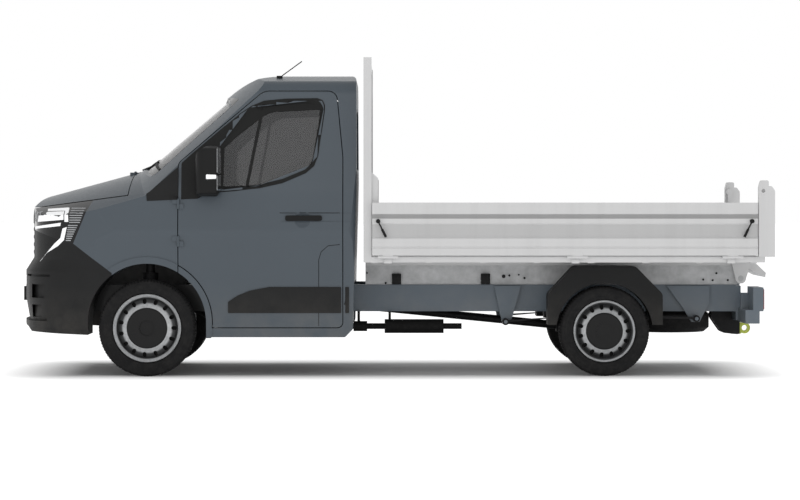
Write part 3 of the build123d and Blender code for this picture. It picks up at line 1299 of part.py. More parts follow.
def main():
    """Centre the vehicle on its overall length and write one file for each node."""
    os.makedirs("parts", exist_ok=True)
    nodes = {}
    for name, shape in all_pieces().items():
        solids = shape if isinstance(shape, list) else list(shape.solids())
        nodes[name] = Compound(solids) if len(solids) > 1 else solids[0]
    boxes = [node.bounding_box() for node in nodes.values()]
    middle = (min(b.min.X for b in boxes) + max(b.max.X for b in boxes)) / 2
    print(f"front axle at x = {-middle:.3f}")
    for name, node in nodes.items():
        export_step(Pos(-middle, 0, 0) * node, os.path.join("parts", name + ".step"))


if __name__ == "__main__":
    main()
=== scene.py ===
import json
import math
from functools import partial

import bmesh
import bpy
from bpy.props import FloatProperty, FloatVectorProperty, IntProperty, PointerProperty
from mathutils import Matrix, Vector
from mathutils.bvhtree import BVHTree


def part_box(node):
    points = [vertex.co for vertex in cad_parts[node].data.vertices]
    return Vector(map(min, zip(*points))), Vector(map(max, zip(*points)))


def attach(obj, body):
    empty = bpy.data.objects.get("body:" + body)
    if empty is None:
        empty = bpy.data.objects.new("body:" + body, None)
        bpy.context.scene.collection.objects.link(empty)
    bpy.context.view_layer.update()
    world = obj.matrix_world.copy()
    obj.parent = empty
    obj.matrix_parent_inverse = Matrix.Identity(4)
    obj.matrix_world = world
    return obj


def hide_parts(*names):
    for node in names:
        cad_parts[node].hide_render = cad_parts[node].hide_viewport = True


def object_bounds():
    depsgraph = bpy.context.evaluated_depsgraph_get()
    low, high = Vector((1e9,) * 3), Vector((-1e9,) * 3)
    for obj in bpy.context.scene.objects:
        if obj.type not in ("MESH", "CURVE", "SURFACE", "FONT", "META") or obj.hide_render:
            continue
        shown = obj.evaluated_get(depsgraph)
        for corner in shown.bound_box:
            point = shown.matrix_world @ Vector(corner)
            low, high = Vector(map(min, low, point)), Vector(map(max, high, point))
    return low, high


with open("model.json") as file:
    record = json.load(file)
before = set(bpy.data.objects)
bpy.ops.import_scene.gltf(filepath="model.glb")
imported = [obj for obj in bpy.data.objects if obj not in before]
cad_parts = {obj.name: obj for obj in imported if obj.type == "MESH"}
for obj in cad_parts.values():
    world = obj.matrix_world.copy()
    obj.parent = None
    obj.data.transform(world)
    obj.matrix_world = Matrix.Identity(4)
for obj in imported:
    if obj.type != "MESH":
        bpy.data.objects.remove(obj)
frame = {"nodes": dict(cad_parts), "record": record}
CAD_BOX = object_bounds()

bl_info = {
    "name": "Dropside tipper truck",
    "version": (1, 0, 0),
    "blender": (4, 5, 0),
    "location": "View3D > Sidebar > Tipper",
    "description": "Finishes, tyres, lamps, trim and studio for the tipper truck",
    "category": "Object",
}

NODES = frame["nodes"]
BODIES = frame["record"]["behaviour"]["bodies"]
BODY_OF = {node: body for body, members in BODIES.items() for node in members}
# Sides of the truck, and which way along y each one lies
SIDES = {"left": -1.0, "right": 1.0}
WHEELS = tuple((place, side) for place in ("front", "rear") for side in SIDES)


def node_middle(node):
    """Middle of a piece's box at rest."""
    low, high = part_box(node)
    return (low + high) / 2


FRONT_AXLE = node_middle("tyre_front_left")
REAR_AXLE = node_middle("tyre_rear_left")
GROUND_Z = CAD_BOX[0].z
# How far a trim piece reaches into the body under it
SINK = 0.001


# What every colour property shares
COLOUR = {"subtype": "COLOR", "size": 3, "min": 0.0, "max": 1.0}
# Size in pixels of the image that the camera frames
IMAGE_WIDTH = 800.0
IMAGE_HEIGHT = 500.0
SENSOR = 36.0


class TruckColours(bpy.types.PropertyGroup):
    """Colours of the finishes, in linear light."""

    body: FloatVectorProperty(
        name="Body", description="Grey-blue cab paint", default=(0.070, 0.086, 0.102), **COLOUR)
    bed: FloatVectorProperty(
        name="Bed", description="Light grey bed paint", default=(0.59, 0.59, 0.592), **COLOUR)
    plastic: FloatVectorProperty(
        name="Plastic", description="Dark grey bumper plastic", default=(0.0115, 0.0117, 0.0120), **COLOUR)
    rubber: FloatVectorProperty(
        name="Rubber", description="Tyre rubber", default=(0.010, 0.010, 0.0105), **COLOUR)
    steel: FloatVectorProperty(
        name="Steel", description="Silver wheel paint", default=(0.55, 0.56, 0.57), **COLOUR)
    glass: FloatVectorProperty(
        name="Glass", description="Window tint", default=(0.045, 0.046, 0.048), **COLOUR)


class TruckTyres(bpy.types.PropertyGroup):
    """Sizes of the tyres' tread."""

    front_rim: FloatProperty(
        name="Front rim", description="Radius of the front rims", unit="LENGTH", default=0.264)
    rear_rim: FloatProperty(
        name="Rear rim", description="Radius of the rear rims", unit="LENGTH", default=0.240)
    groove_width: FloatProperty(
        name="Groove width", description="Width of a groove round the tread", unit="LENGTH", default=0.009)
    groove_depth: FloatProperty(
        name="Groove depth", description="Depth of a groove round the tread", unit="LENGTH", default=0.008)
    groove_outer: FloatProperty(
        name="Outer grooves", description="Outer grooves' place off the middle", unit="LENGTH", default=0.050)
    groove_inner: FloatProperty(
        name="Inner grooves", description="Inner grooves' place off the middle", unit="LENGTH", default=0.018)
    lugs: IntProperty(
        name="Lugs", description="Shoulder lugs round a tyre", default=90, min=20)

    def rim(self, place):
        """Radius of the front or the rear rims."""
        return {"front": self.front_rim, "rear": self.rear_rim}[place]


class TruckStage(bpy.types.PropertyGroup):
    """Camera, floor and lights."""

    camera_place: FloatVectorProperty(
        name="Camera place", description="Where the camera stands", subtype="TRANSLATION", size=3,
        unit="LENGTH", default=(FRONT_AXLE.x + 1.8528, -22.485, 1.354))
    lens: FloatProperty(
        name="Lens", description="Focal length on a 36 mm sensor", unit="CAMERA", default=124.9, min=10.0)
    horizon: FloatProperty(
        name="Horizon row", description="Pixel row of the horizon in an image 500 high", default=202.0)
    vanishing: FloatProperty(
        name="Vanishing column", description="Pixel column of the view axis in an image 800 wide",
        default=386.0)
    floor: FloatVectorProperty(
        name="Floor", description="Pale floor colour", default=(0.64, 0.64, 0.64), **COLOUR)
    sky: FloatProperty(
        name="Room light", description="Strength of the white room", default=1.0, min=0.0)
    zenith: FloatProperty(
        name="Light overhead", description="Strength of the white room straight overhead", default=0.45,
        min=0.0)
    glow: FloatProperty(
        name="Floor glow", description="Light of the floor's own, which keeps it white", default=0.69,
        min=0.0)
    key: FloatProperty(
        name="Overhead light", description="Power of the overhead softbox", unit="POWER", default=40.0,
        min=0.0)
    fill: FloatProperty(
        name="Side light", description="Power of the softbox beside the camera", unit="POWER", default=60.0,
        min=0.0)


# Colour of road dust
DUST = (0.21, 0.19, 0.165)


class Finish:
    """One node material round a Principled shader, reading Object coordinates."""

    def __init__(self, name, roughness=0.5, **values):
        self.material = bpy.data.materials.new(name)
        self.material.use_nodes = True
        self.nodes = self.material.node_tree.nodes
        self.links = self.material.node_tree.links
        self.shader = self.nodes["Principled BSDF"]
        self.place = self.nodes.new("ShaderNodeTexCoord").outputs["Object"]
        self.set(roughness=roughness, **values)

    def set(self, **values):
        """Set or link shader sockets, named in lower case with underscores."""
        for key, value in values.items():
            self.plug(self.shader.inputs[key.replace("_", " ").title().replace("Ior", "IOR")], value)
        return self

    def plug(self, socket, value):
        """Link an output to a socket, or write a plain value on it."""
        if isinstance(value, bpy.types.NodeSocket):
            self.links.new(value, socket)
        elif hasattr(value, "__len__"):
            socket.default_value = (*value, 1.0) if len(value) == 3 and socket.type == "RGBA" else value
        else:
            socket.default_value = value

    def node(self, kind, inputs, **settings):
        """New node with settings and sockets filled, by socket name or number."""
        made = self.nodes.new(kind)
        for key, value in settings.items():
            setattr(made, key, value)
        for key, value in inputs.items():
            self.plug(made.inputs[key], value)
        return made

    def stretched(self, scale):
        """Object coordinates, scaled along each axis."""
        return self.node("ShaderNodeMapping", {"Vector": self.place, "Scale": scale}).outputs["Vector"]

    def noise(self, scale, detail=3.0, rough=0.5, vector=None):
        """Soft noise from 0 to 1."""
        made = self.node("ShaderNodeTexNoise", {"Vector": vector or self.place, "Scale": scale,
                                                "Detail": detail, "Roughness": rough})
        return made.outputs["Fac"]

    def cells(self, scale):
        """Distance to the nearest of many scattered points."""
        return self.node("ShaderNodeTexVoronoi", {"Vector": self.place, "Scale": scale}).outputs["Distance"]

    def waves(self, scale, direction, distortion=0.0):
        """Even stripes from 0 to 1."""
        inputs = {"Vector": self.place, "Scale": scale, "Distortion": distortion}
        return self.node("ShaderNodeTexWave", inputs, bands_direction=direction).outputs["Fac"]

    def span(self, value, low, high, start=0.0, end=1.0):
        """Value between low and high, spread from start to end and kept within them."""
        made = self.node("ShaderNodeMapRange", {"Value": value, "From Min": low, "From Max": high,
                                                "To Min": start, "To Max": end})
        return made.outputs["Result"]

    def math(self, operation, first, second=0.0):
        """One sum of two values."""
        return self.node("ShaderNodeMath", {0: first, 1: second}, operation=operation).outputs[0]

    def band(self, value, rise, fall):
        """One between two edges and nothing past them; an edge is where it starts and where it is full."""
        return self.math("MULTIPLY", self.span(value, *rise), self.span(value, *fall))

    def length(self, first, second):
        """Length of the long side of a right triangle."""
        squares = [self.math("MULTIPLY", side, side) for side in (first, second)]
        return self.math("SQRT", self.math("ADD", *squares))

    def axis(self, letter):
        """One of the object coordinates."""
        return self.node("ShaderNodeSeparateXYZ", {0: self.place}).outputs[letter]

    def blend(self, factor, first, second, mode="MIX"):
        """Mix of two colours."""
        made = self.node("ShaderNodeMix", {"Factor": factor}, data_type="RGBA", blend_type=mode)
        sockets = [socket for socket in made.inputs if socket.type == "RGBA"]
        for socket, colour in zip(sockets, (first, second)):
            self.plug(socket, colour)
        return next(socket for socket in made.outputs if socket.type == "RGBA")

    def shaded(self, colour, share):
        """Colour multiplied by a share of its light, which paints shade below one and light above one."""
        return self.blend(1.0, colour, (share, share, share), "MULTIPLY")

    def base_colour(self):
        """Output that feeds the shader's colour."""
        return self.shader.inputs["Base Color"].links[0].from_socket

    def reach(self, axle):
        """Distance from an axle that runs along y."""
        along = self.math("SUBTRACT", self.axis("X"), axle.x)
        up = self.math("SUBTRACT", self.axis("Z"), axle.z)
        return self.length(along, up)

    def bump(self, height, strength, depth):
        """Small relief from a height, depth in metres."""
        made = self.node("ShaderNodeBump", {"Height": height, "Strength": strength, "Distance": depth})
        self.links.new(made.outputs["Normal"], self.shader.inputs["Normal"])
        return self

    def road_dust(self, colour, top, amount=0.35):
        """Colour with a dusty film that thickens towards the ground below a height."""
        low = self.span(self.axis("Z"), top, GROUND_Z + 0.1)
        cloud = self.span(self.noise(5.0, 5.0, 0.6), 0.35, 0.7)
        film = self.math("MULTIPLY", self.math("MULTIPLY", low, cloud), amount)
        return self.blend(film, colour, DUST)


def tinted(colour, factor):
    """A colour made lighter or darker."""
    return tuple(min(1.0, c * factor) for c in colour)


def colours():
    """The truck's colours as set in the scene."""
    return bpy.context.scene.truck_colours


def body_paint(name="body_paint"):
    """Grey-blue paint with fine flake, faint orange peel and a clear coat."""
    made = Finish(name, coat_weight=0.12, coat_roughness=0.08, specular_ior_level=0.25)
    colour = tuple(colours().body)
    flake = made.span(made.cells(1400.0), 0.1, 0.9)
    tone = made.blend(flake, tinted(colour, 1.10), tinted(colour, 0.90))
    cloud = made.span(made.noise(1.3, 2.0), 0.3, 0.7)
    tone = made.blend(cloud, tone, tinted(colour, 0.94))
    made.set(base_color=made.road_dust(tone, 0.75))
    made.set(roughness=made.span(made.noise(60.0, 2.0), 0.3, 0.7, 0.33, 0.41))
    return made.bump(made.noise(170.0, 1.0), 0.05, 0.001)


# Where the rails come out from under the cab, and how much lighter the cab's paint is made on them: painted
# light on rails that lie in shade under the bed
CAB_BACK_X = FRONT_AXLE.x + 1.55
RAIL_PAINTED_LIGHT = 1.6


def chassis_paint():
    """The cab's paint, made lighter on the rails behind the cab as painted light, and black steel under the
    cab.
    """
    made = body_paint("chassis_paint")
    # Painted light: the rails and the rear beam sit in shade under the bed, so their paint is lightened
    lighter = made.shaded(made.base_colour(), RAIL_PAINTED_LIGHT)
    behind = made.span(made.axis("X"), CAB_BACK_X, CAB_BACK_X + 0.01)
    return made.set(base_color=made.blend(behind, (0.006, 0.006, 0.0065), lighter))


def bed_paint(name="bed_paint"):
    """Light grey paint on folded sheet, with scuffs, faint run marks and dust."""
    made = Finish(name, coat_weight=0.15, coat_roughness=0.2)
    colour = tuple(colours().bed)
    streak = made.span(made.noise(9.0, 4.0, 0.6, made.stretched((1.0, 1.0, 0.08))), 0.45, 0.75)
    tone = made.blend(made.math("MULTIPLY", streak, 0.4), colour, tinted(colour, 0.86))
    scuff = made.span(made.noise(45.0, 6.0, 0.75, made.stretched((0.25, 1.0, 1.0))), 0.66, 0.74)
    tone = made.blend(made.math("MULTIPLY", scuff, 0.5), tone, tinted(colour, 0.62))
    made.set(base_color=tone)
    made.set(roughness=made.span(made.noise(25.0, 3.0), 0.3, 0.7, 0.38, 0.52))
    return made.bump(made.noise(120.0, 2.0), 0.08, 0.001)


# Painted shade on a dropside, in the groove and on the pressed-in panel: foot and head above the ground,
# share of the paint's light left
DROPSIDE_PAINTED_SHADE = ((1.228, 1.259, 0.5), (1.082, 1.182, 0.78))
# Half the width of the soft edge of a band of painted shade
PAINTED_SHADE_EDGE = 0.004


def dropside_paint():
    """The bed's paint, darker in bands of painted shade on the groove and on the pressed-in panel."""
    made = bed_paint("dropside_paint")
    tone = made.base_colour()
    height = made.axis("Z")
    # Painted shade: each band darkens the paint where shade falls in the groove and on the panel
    for low, high, share in DROPSIDE_PAINTED_SHADE:
        inside = made.band(height, (low - PAINTED_SHADE_EDGE, low + PAINTED_SHADE_EDGE),
                           (high + PAINTED_SHADE_EDGE, high - PAINTED_SHADE_EDGE))
        tone = made.blend(inside, tone, made.shaded(tone, share))
    return made.set(base_color=tone)


def grained_plastic(name, colour, scale=650.0, rough=(0.48, 0.6), relief=0.25):
    """Moulded plastic with a leathery grain and pale scuffs."""
    made = Finish(name, specular_ior_level=0.2)
    grain = made.cells(scale)
    cloud = made.span(made.noise(4.0, 4.0), 0.3, 0.7)
    tone = made.blend(cloud, tinted(colour, 0.9), tinted(colour, 1.15))
    made.set(base_color=made.road_dust(tone, 0.7, 0.22))
    made.set(roughness=made.span(grain, 0.0, 0.8, *rough))
    return made.bump(grain, relief, 0.0012)


def bumper_plastic():
    """Bumper, grille, mouldings and mirrors."""
    return grained_plastic("bumper_plastic", tuple(colours().plastic))


def guard_plastic():
    """Darker plastic of the mudguards and small fittings, with a coarser grain."""
    return grained_plastic("guard_plastic", tinted(tuple(colours().plastic), 0.6), 300.0)


def lamp_lens():
    """Smoked clear lamp cover over a dark housing."""
    made = Finish("lamp_lens", specular_ior_level=0.22, coat_weight=0.1, coat_roughness=0.02)
    band = made.span(made.axis("Z"), 1.0, 1.35)
    made.set(base_color=made.blend(band, (0.006, 0.006, 0.0065), (0.013, 0.0135, 0.0145)))
    made.set(roughness=made.span(made.noise(30.0, 3.0), 0.3, 0.7, 0.05, 0.12))
    return made


def window_glass():
    """Dark tinted safety glass with a faint wipe haze."""
    made = Finish("window_glass", ior=1.48, alpha=0.6)
    tint = tuple(colours().glass)
    haze = made.span(made.noise(3.0, 4.0), 0.3, 0.8)
    made.set(base_color=made.blend(haze, tint, tinted(tint, 0.8)))
    made.set(roughness=made.span(made.noise(14.0, 4.0), 0.5, 0.9, 0.02, 0.06))
    return made


def tyre_rubber():
    """Matt rubber, greyer where dust clings."""
    made = Finish("tyre_rubber", specular_ior_level=0.15)
    colour = tuple(colours().rubber)
    dust = made.span(made.noise(22.0, 5.0, 0.65), 0.4, 0.72)
    tone = made.blend(made.math("MULTIPLY", dust, 0.5), colour, (0.026, 0.025, 0.024))
    made.set(base_color=tone)
    made.set(roughness=made.span(made.noise(90.0, 3.0), 0.3, 0.7, 0.66, 0.86))
    return made.bump(made.noise(420.0, 2.0), 0.2, 0.0008)


def coated_steel(name, colour, rough, rust, metallic):
    """Painted or bare steel with blotches, and rust bloom where asked."""
    made = Finish(name, metallic=metallic, specular_ior_level=0.2)
    cloud = made.span(made.noise(14.0, 5.0, 0.6), 0.3, 0.7)
    tone = made.blend(cloud, tinted(colour, 0.82), tinted(colour, 1.15))
    if rust:
        bloom = made.span(made.noise(38.0, 6.0, 0.7), 0.58, 0.72, 0.0, rust)
        tone = made.blend(bloom, tone, (0.16, 0.07, 0.03))
    made.set(base_color=tone)
    made.set(roughness=made.span(made.noise(55.0, 4.0), 0.3, 0.7, *rough))
    return made.bump(made.noise(260.0, 3.0), 0.15, 0.0008)


def rim_paint(name, axle, cover):
    """Silver wheel paint with brake dust, a dark cover round the hub and painted shade in the groove round
    the vents.
    """
    made = Finish(name, specular_ior_level=0.2)
    colour = tuple(colours().steel)
    dust = made.span(made.noise(40.0, 5.0, 0.65), 0.42, 0.75)
    tone = made.blend(made.math("MULTIPLY", dust, 0.55), colour, tinted(colour, 0.45))
    reach = made.reach(axle)
    silver = made.span(reach, cover, cover + 0.001)
    # Painted shade: a near-black band round the vents, where the rim's groove lies in shade
    groove = made.band(reach, (cover + 0.026, cover + 0.042), (cover + 0.084, cover + 0.078))
    tone = made.blend(made.math("MULTIPLY", groove, 0.93), tone, tinted(colour, 0.06))
    tone = made.blend(silver, (0.008, 0.008, 0.0082), tone)
    made.set(base_color=tone, metallic=made.math("MULTIPLY", silver, 0.6))
    made.set(roughness=made.span(made.noise(30.0, 3.0), 0.3, 0.7, 0.3, 0.45))
    return made.bump(made.noise(300.0, 2.0), 0.06, 0.0006)


def light_guide():
    """White light guide, lit, with fine flutes across it."""
    made = Finish("light_guide", 0.15, emission_color=(1.0, 1.0, 1.0), emission_strength=0.25)
    flute = made.waves(28.0, "X")
    made.set(base_color=made.blend(flute, (0.72, 0.73, 0.75), (0.86, 0.87, 0.88)))
    return made.bump(flute, 0.15, 0.001)


def coloured_lens(name, colour):
    """Moulded lamp lens with a grid of small prisms behind a glossy face."""
    made = Finish(name, 0.08, coat_weight=1.0, coat_roughness=0.03)
    prism = made.span(made.cells(110.0), 0.1, 0.7)
    made.set(base_color=made.blend(prism, tinted(colour, 1.25), tinted(colour, 0.55)))
    return made.bump(prism, 0.1, 0.001)


def mirror_silver():
    """Silvered glass with faint water marks."""
    made = Finish("mirror_silver", metallic=1.0)
    water = made.noise(18.0, 5.0, 0.6)
    made.set(base_color=made.blend(made.span(water, 0.5, 0.8), (0.80, 0.82, 0.84), (0.72, 0.74, 0.76)))
    made.set(roughness=made.span(water, 0.5, 0.8, 0.02, 0.08))
    return made


def seat_fabric():
    """Woven seat cloth."""
    made = Finish("seat_fabric", 0.9, sheen_weight=0.3)
    weave = made.waves(260.0, "DIAGONAL", 1.5)
    tone = made.blend(weave, (0.022, 0.023, 0.026), (0.05, 0.052, 0.056))
    made.set(base_color=made.blend(made.span(made.noise(6.0), 0.3, 0.7), tone, (0.03, 0.031, 0.034)))
    return made.bump(weave, 0.3, 0.001)


# Steels: colour, lowest and highest roughness, rust, metallic
STEELS = {
    "subframe_paint": ((0.45, 0.455, 0.46), (0.4, 0.55), 0.0, 0.35),
    "black_steel": ((0.007, 0.007, 0.0075), (0.42, 0.62), 0.06, 0.0),
    "exhaust_steel": ((0.0012, 0.0012, 0.0012), (0.6, 0.8), 0.01, 0.0),
    "engine_iron": ((0.11, 0.11, 0.11), (0.5, 0.65), 0.05, 0.4),
    "tow_paint": ((0.44, 0.50, 0.10), (0.3, 0.45), 0.04, 0.3),
    "hoist_steel": ((0.5, 0.5, 0.52), (0.14, 0.25), 0.0, 1.0),
    "brake_iron": ((0.012, 0.012, 0.012), (0.5, 0.7), 0.1, 0.2),
    "lamp_fin": ((0.34, 0.35, 0.36), (0.2, 0.35), 0.0, 0.8),
}
# Plastics: colour, grains per metre, lowest and highest roughness, relief
PLASTICS = {
    "cabin_plastic": ((0.022, 0.022, 0.023), 500.0, (0.55, 0.7), 0.25),
    "seal_rubber": ((0.006, 0.006, 0.0065), 900.0, (0.5, 0.65), 0.1),
    "surround_black": ((0.006, 0.0062, 0.006), 700.0, (0.35, 0.5), 0.08),
    "screen_black": ((0.004, 0.004, 0.0045), 1500.0, (0.08, 0.14), 0.02),
}
LENSES = {
    "red_lens": (0.30, 0.008, 0.006),
    "amber_lens": (0.42, 0.13, 0.008),
    "white_lens": (0.50, 0.50, 0.50),
}
# Axle of a wheel pair, and radius of the dark cover round its hubs
RIMS = {"rim_front": (FRONT_AXLE, 0.158), "rim_rear": (REAR_AXLE, 0.1435)}
FINISHES = {made.__name__: made for made in (
    body_paint, bumper_plastic, lamp_lens, window_glass, tyre_rubber, bed_paint, dropside_paint,
    chassis_paint, guard_plastic, seat_fabric, light_guide, mirror_silver)}
FINISHES.update({name: partial(coated_steel, name, *values) for name, values in STEELS.items()})
FINISHES.update({name: partial(grained_plastic, name, *values) for name, values in PLASTICS.items()})
FINISHES.update({name: partial(coloured_lens, name, colour) for name, colour in LENSES.items()})
FINISHES.update({name: partial(rim_paint, name, *values) for name, values in RIMS.items()})
# Pieces whose finish differs from their slot's
NODE_FINISHES = {f"rim_{place}_{side}": f"rim_{place}" for place, side in WHEELS}
NODE_FINISHES.update({f"dropside_{side}": "dropside_paint" for side in SIDES})
# The rear beam takes the rails' lightened paint, which is painted light
NODE_FINISHES["rear_lamps"] = "chassis_paint"


def finish(name):
    """Material of a finish, made on first use."""
    known = bpy.data.materials.get("truck_" + name)
    if known is None:
        known = FINISHES[name]().material
        known.name = "truck_" + name
    return known


def spot(x, y, z):
    """Row place of millimetres behind the front axle, off the middle and above the ground."""
    return Vector((FRONT_AXLE.x + x / 1000.0, y / 1000.0, GROUND_Z + z / 1000.0))


# Flat views that outlines are drawn in: how two columns become a place, and the ray on to the body
VIEWS = {
    "side": (lambda x, z: spot(x, -3000.0, z), Vector((0.0, 1.0, 0.0))),
    "front": (lambda y, z: spot(-3000.0, y, z), Vector((1.0, 0.0, 0.0))),
    "rear": (lambda y, z: spot(8000.0, y, z), Vector((-1.0, 0.0, 0.0))),
}


def add_piece(name, bm, finish_name, body, sharp=35.0):
    """Piece from a bmesh, with sharp edges kept, riding on a body."""
    mesh = bpy.data.meshes.new(name)
    bm.to_mesh(mesh)
    bm.free()
    mesh.materials.append(finish(finish_name))
    mesh.shade_smooth()
    mesh.set_sharp_from_angle(angle=math.radians(sharp))
    piece = bpy.data.objects.new(name, mesh)
    bpy.context.scene.collection.objects.link(piece)
    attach(piece, body)
    return piece


def add_pair(name, bm, finish_name, body, sharp=35.0):
    """Left-hand piece and its mirror image; the body's name may hold the side."""
    right = bm.copy()
    bmesh.ops.scale(right, vec=(1.0, -1.0, 1.0), verts=right.verts)
    bmesh.ops.reverse_faces(right, faces=right.faces)
    for side, mesh in zip(SIDES, (bm, right)):
        add_piece(f"{name}_{side}", mesh, finish_name, body.format(side), sharp)


def cut_grid(bm, step):
    """Cut flat faces along planes a step apart, so that they can follow a curved body."""
    bmesh.ops.triangulate(bm, faces=bm.faces[:])
    for axis in range(3):
        low = min(v.co[axis] for v in bm.verts)
        high = max(v.co[axis] for v in bm.verts)
        cuts = int((high - low) / step)
        for i in range(cuts):
            place, normal = Vector(), Vector()
            place[axis] = low + (high - low) * (i + 1) / (cuts + 1)
            normal[axis] = 1.0
            geom = bm.verts[:] + bm.edges[:] + bm.faces[:]
            bmesh.ops.bisect_plane(bm, geom=geom, plane_co=place, plane_no=normal)


def drape(bm, nodes, ray, lift):
    """Drop a flat sheet along a ray on to the named pieces and lift it off their faces."""
    graph = bpy.context.evaluated_depsgraph_get()
    trees = [BVHTree.FromObject(NODES[node], graph) for node in nodes]
    missed, reach = [], []
    for vert in bm.verts:
        hits = [hit for hit in (tree.ray_cast(vert.co, ray) for tree in trees) if hit[0] is not None]
        if hits:
            place, normal, _, distance = min(hits, key=lambda hit: hit[3])
            vert.co = place + normal * lift
            reach.append(distance)
        else:
            missed.append(vert)
    if not reach:
        raise RuntimeError(f"nothing under the outline on {nodes}")
    for vert in missed:
        vert.co += ray * (sum(reach) / len(reach))
    bm.normal_update()
    bmesh.ops.reverse_faces(bm, faces=[face for face in bm.faces if face.normal.dot(ray) > 0.0])


def trim_sheet(rows, nodes, view, thick, corner=0.0, border=0.0, hole=(), step=0.04):
    """Thin shell on the named pieces inside an outline, less a hole; a border keeps only a band along it."""
    place, ray = VIEWS[view]
    bm = bmesh.new()
    rings = [[bm.verts.new(place(*row)) for row in ring] for ring in (rows, hole)]
    if hole:
        edges = [bm.edges.new(pair) for ring in rings for pair in zip(ring, ring[1:] + ring[:1])]
        bmesh.ops.triangle_fill(bm, edges=edges, use_dissolve=False, use_beauty=False)
    else:
        bm.faces.new(rings[0])
    if corner:
        bmesh.ops.bevel(bm, geom=bm.verts[:], offset=corner, affect="VERTICES", segments=4, profile=0.5,
                        material=-1)
    if border:
        inner = bm.faces[:]
        bmesh.ops.inset_region(bm, faces=inner, thickness=border, use_boundary=True, use_even_offset=True)
        bmesh.ops.delete(bm, geom=inner, context="FACES")
    cut_grid(bm, step)
    drape(bm, nodes, ray, thick)
    bmesh.ops.remove_doubles(bm, verts=bm.verts[:], dist=1e-5)
    bmesh.ops.solidify(bm, geom=bm.faces[:], thickness=thick + SINK)
    return bm


def strip(points, width):
    """Outline of a band of even width along a line of points."""
    left, right = [], []
    for i, point in enumerate(points):
        before = Vector(points[max(i - 1, 0)])
        after = Vector(points[min(i + 1, len(points) - 1)])
        along = (after - before).normalized()
        off = Vector((-along.y, along.x)) * width / 2
        left.append(tuple(Vector(point) + off))
        right.append(tuple(Vector(point) - off))
    return left + right[::-1]


def rounded_box(bm, low, high, radius, segments=2):
    """Box between two corners with rounded edges."""
    verts = bmesh.ops.create_cube(bm, size=1.0)["verts"]
    bmesh.ops.scale(bm, vec=high - low, verts=verts)
    bmesh.ops.translate(bm, vec=(low + high) / 2, verts=verts)
    edges = list({edge for vert in verts for edge in vert.link_edges})
    bmesh.ops.bevel(bm, geom=edges, offset=radius, affect="EDGES", segments=segments, profile=0.5,
                    material=-1)


def bolt(bm, place, turn, radius, height):
    """Hexagon head on a round washer, pointing along z before the turn."""
    seat = Matrix.Translation(place) @ turn.to_4x4()
    for segments, r, h in ((20, radius * 1.45, height * 0.35), (6, radius, height * 2)):
        made = bmesh.ops.create_cone(bm, cap_ends=True, segments=segments, radius1=r, radius2=r * 0.93,
                                     depth=h, matrix=seat)["verts"]
        top = [edge for edge in {e for v in made for e in v.link_edges}
               if all((seat.inverted() @ v.co).z > 0 for v in edge.verts)]
        bmesh.ops.bevel(bm, geom=top, offset=r * 0.08, affect="EDGES", segments=2, profile=0.5, material=-1)


def join(bm, other):
    """Take another bmesh's faces into this one."""
    mesh = bpy.data.meshes.new("joined")
    other.to_mesh(mesh)
    other.free()
    bm.from_mesh(mesh)
    bpy.data.meshes.remove(mesh)


def lathe(bm, rows, centre, steps):
    """Closed section, columns radius and y, spun round an axis along y."""
    verts = [bm.verts.new(centre + Vector((0.0, y, r))) for r, y in rows]
    edges = [bm.edges.new(pair) for pair in zip(verts, verts[1:] + verts[:1])]
    bmesh.ops.spin(bm, geom=verts + edges, cent=centre, axis=(0.0, 1.0, 0.0), angle=math.tau, steps=steps,
                   use_merge=True)
    bmesh.ops.remove_doubles(bm, verts=bm.verts[:], dist=1e-5)
    bmesh.ops.recalc_face_normals(bm, faces=bm.faces[:])


class TRUCK_OT_finishes(bpy.types.Operator):
    """Make a material for each finish and put it on the frame's pieces"""

    bl_idname = "truck.finishes"
    bl_label = "Finishes"

    def execute(self, context):
        for node in NODES.values():
            for place in node.material_slots:
                slot = place.material.name.split(".")[0]
                place.material = finish(NODE_FINISHES.get(node.name, slot))
        return {"FINISHED"}


# How far below the tread a shoulder and a rib reach, and their slots: margin at each side, depth
SHOULDER_DROP = 0.016
SHOULDER_SLOT = (0.0025, 0.006)
RIB_DROP = 0.002
RIB_SLOT = (0.004, 0.004)


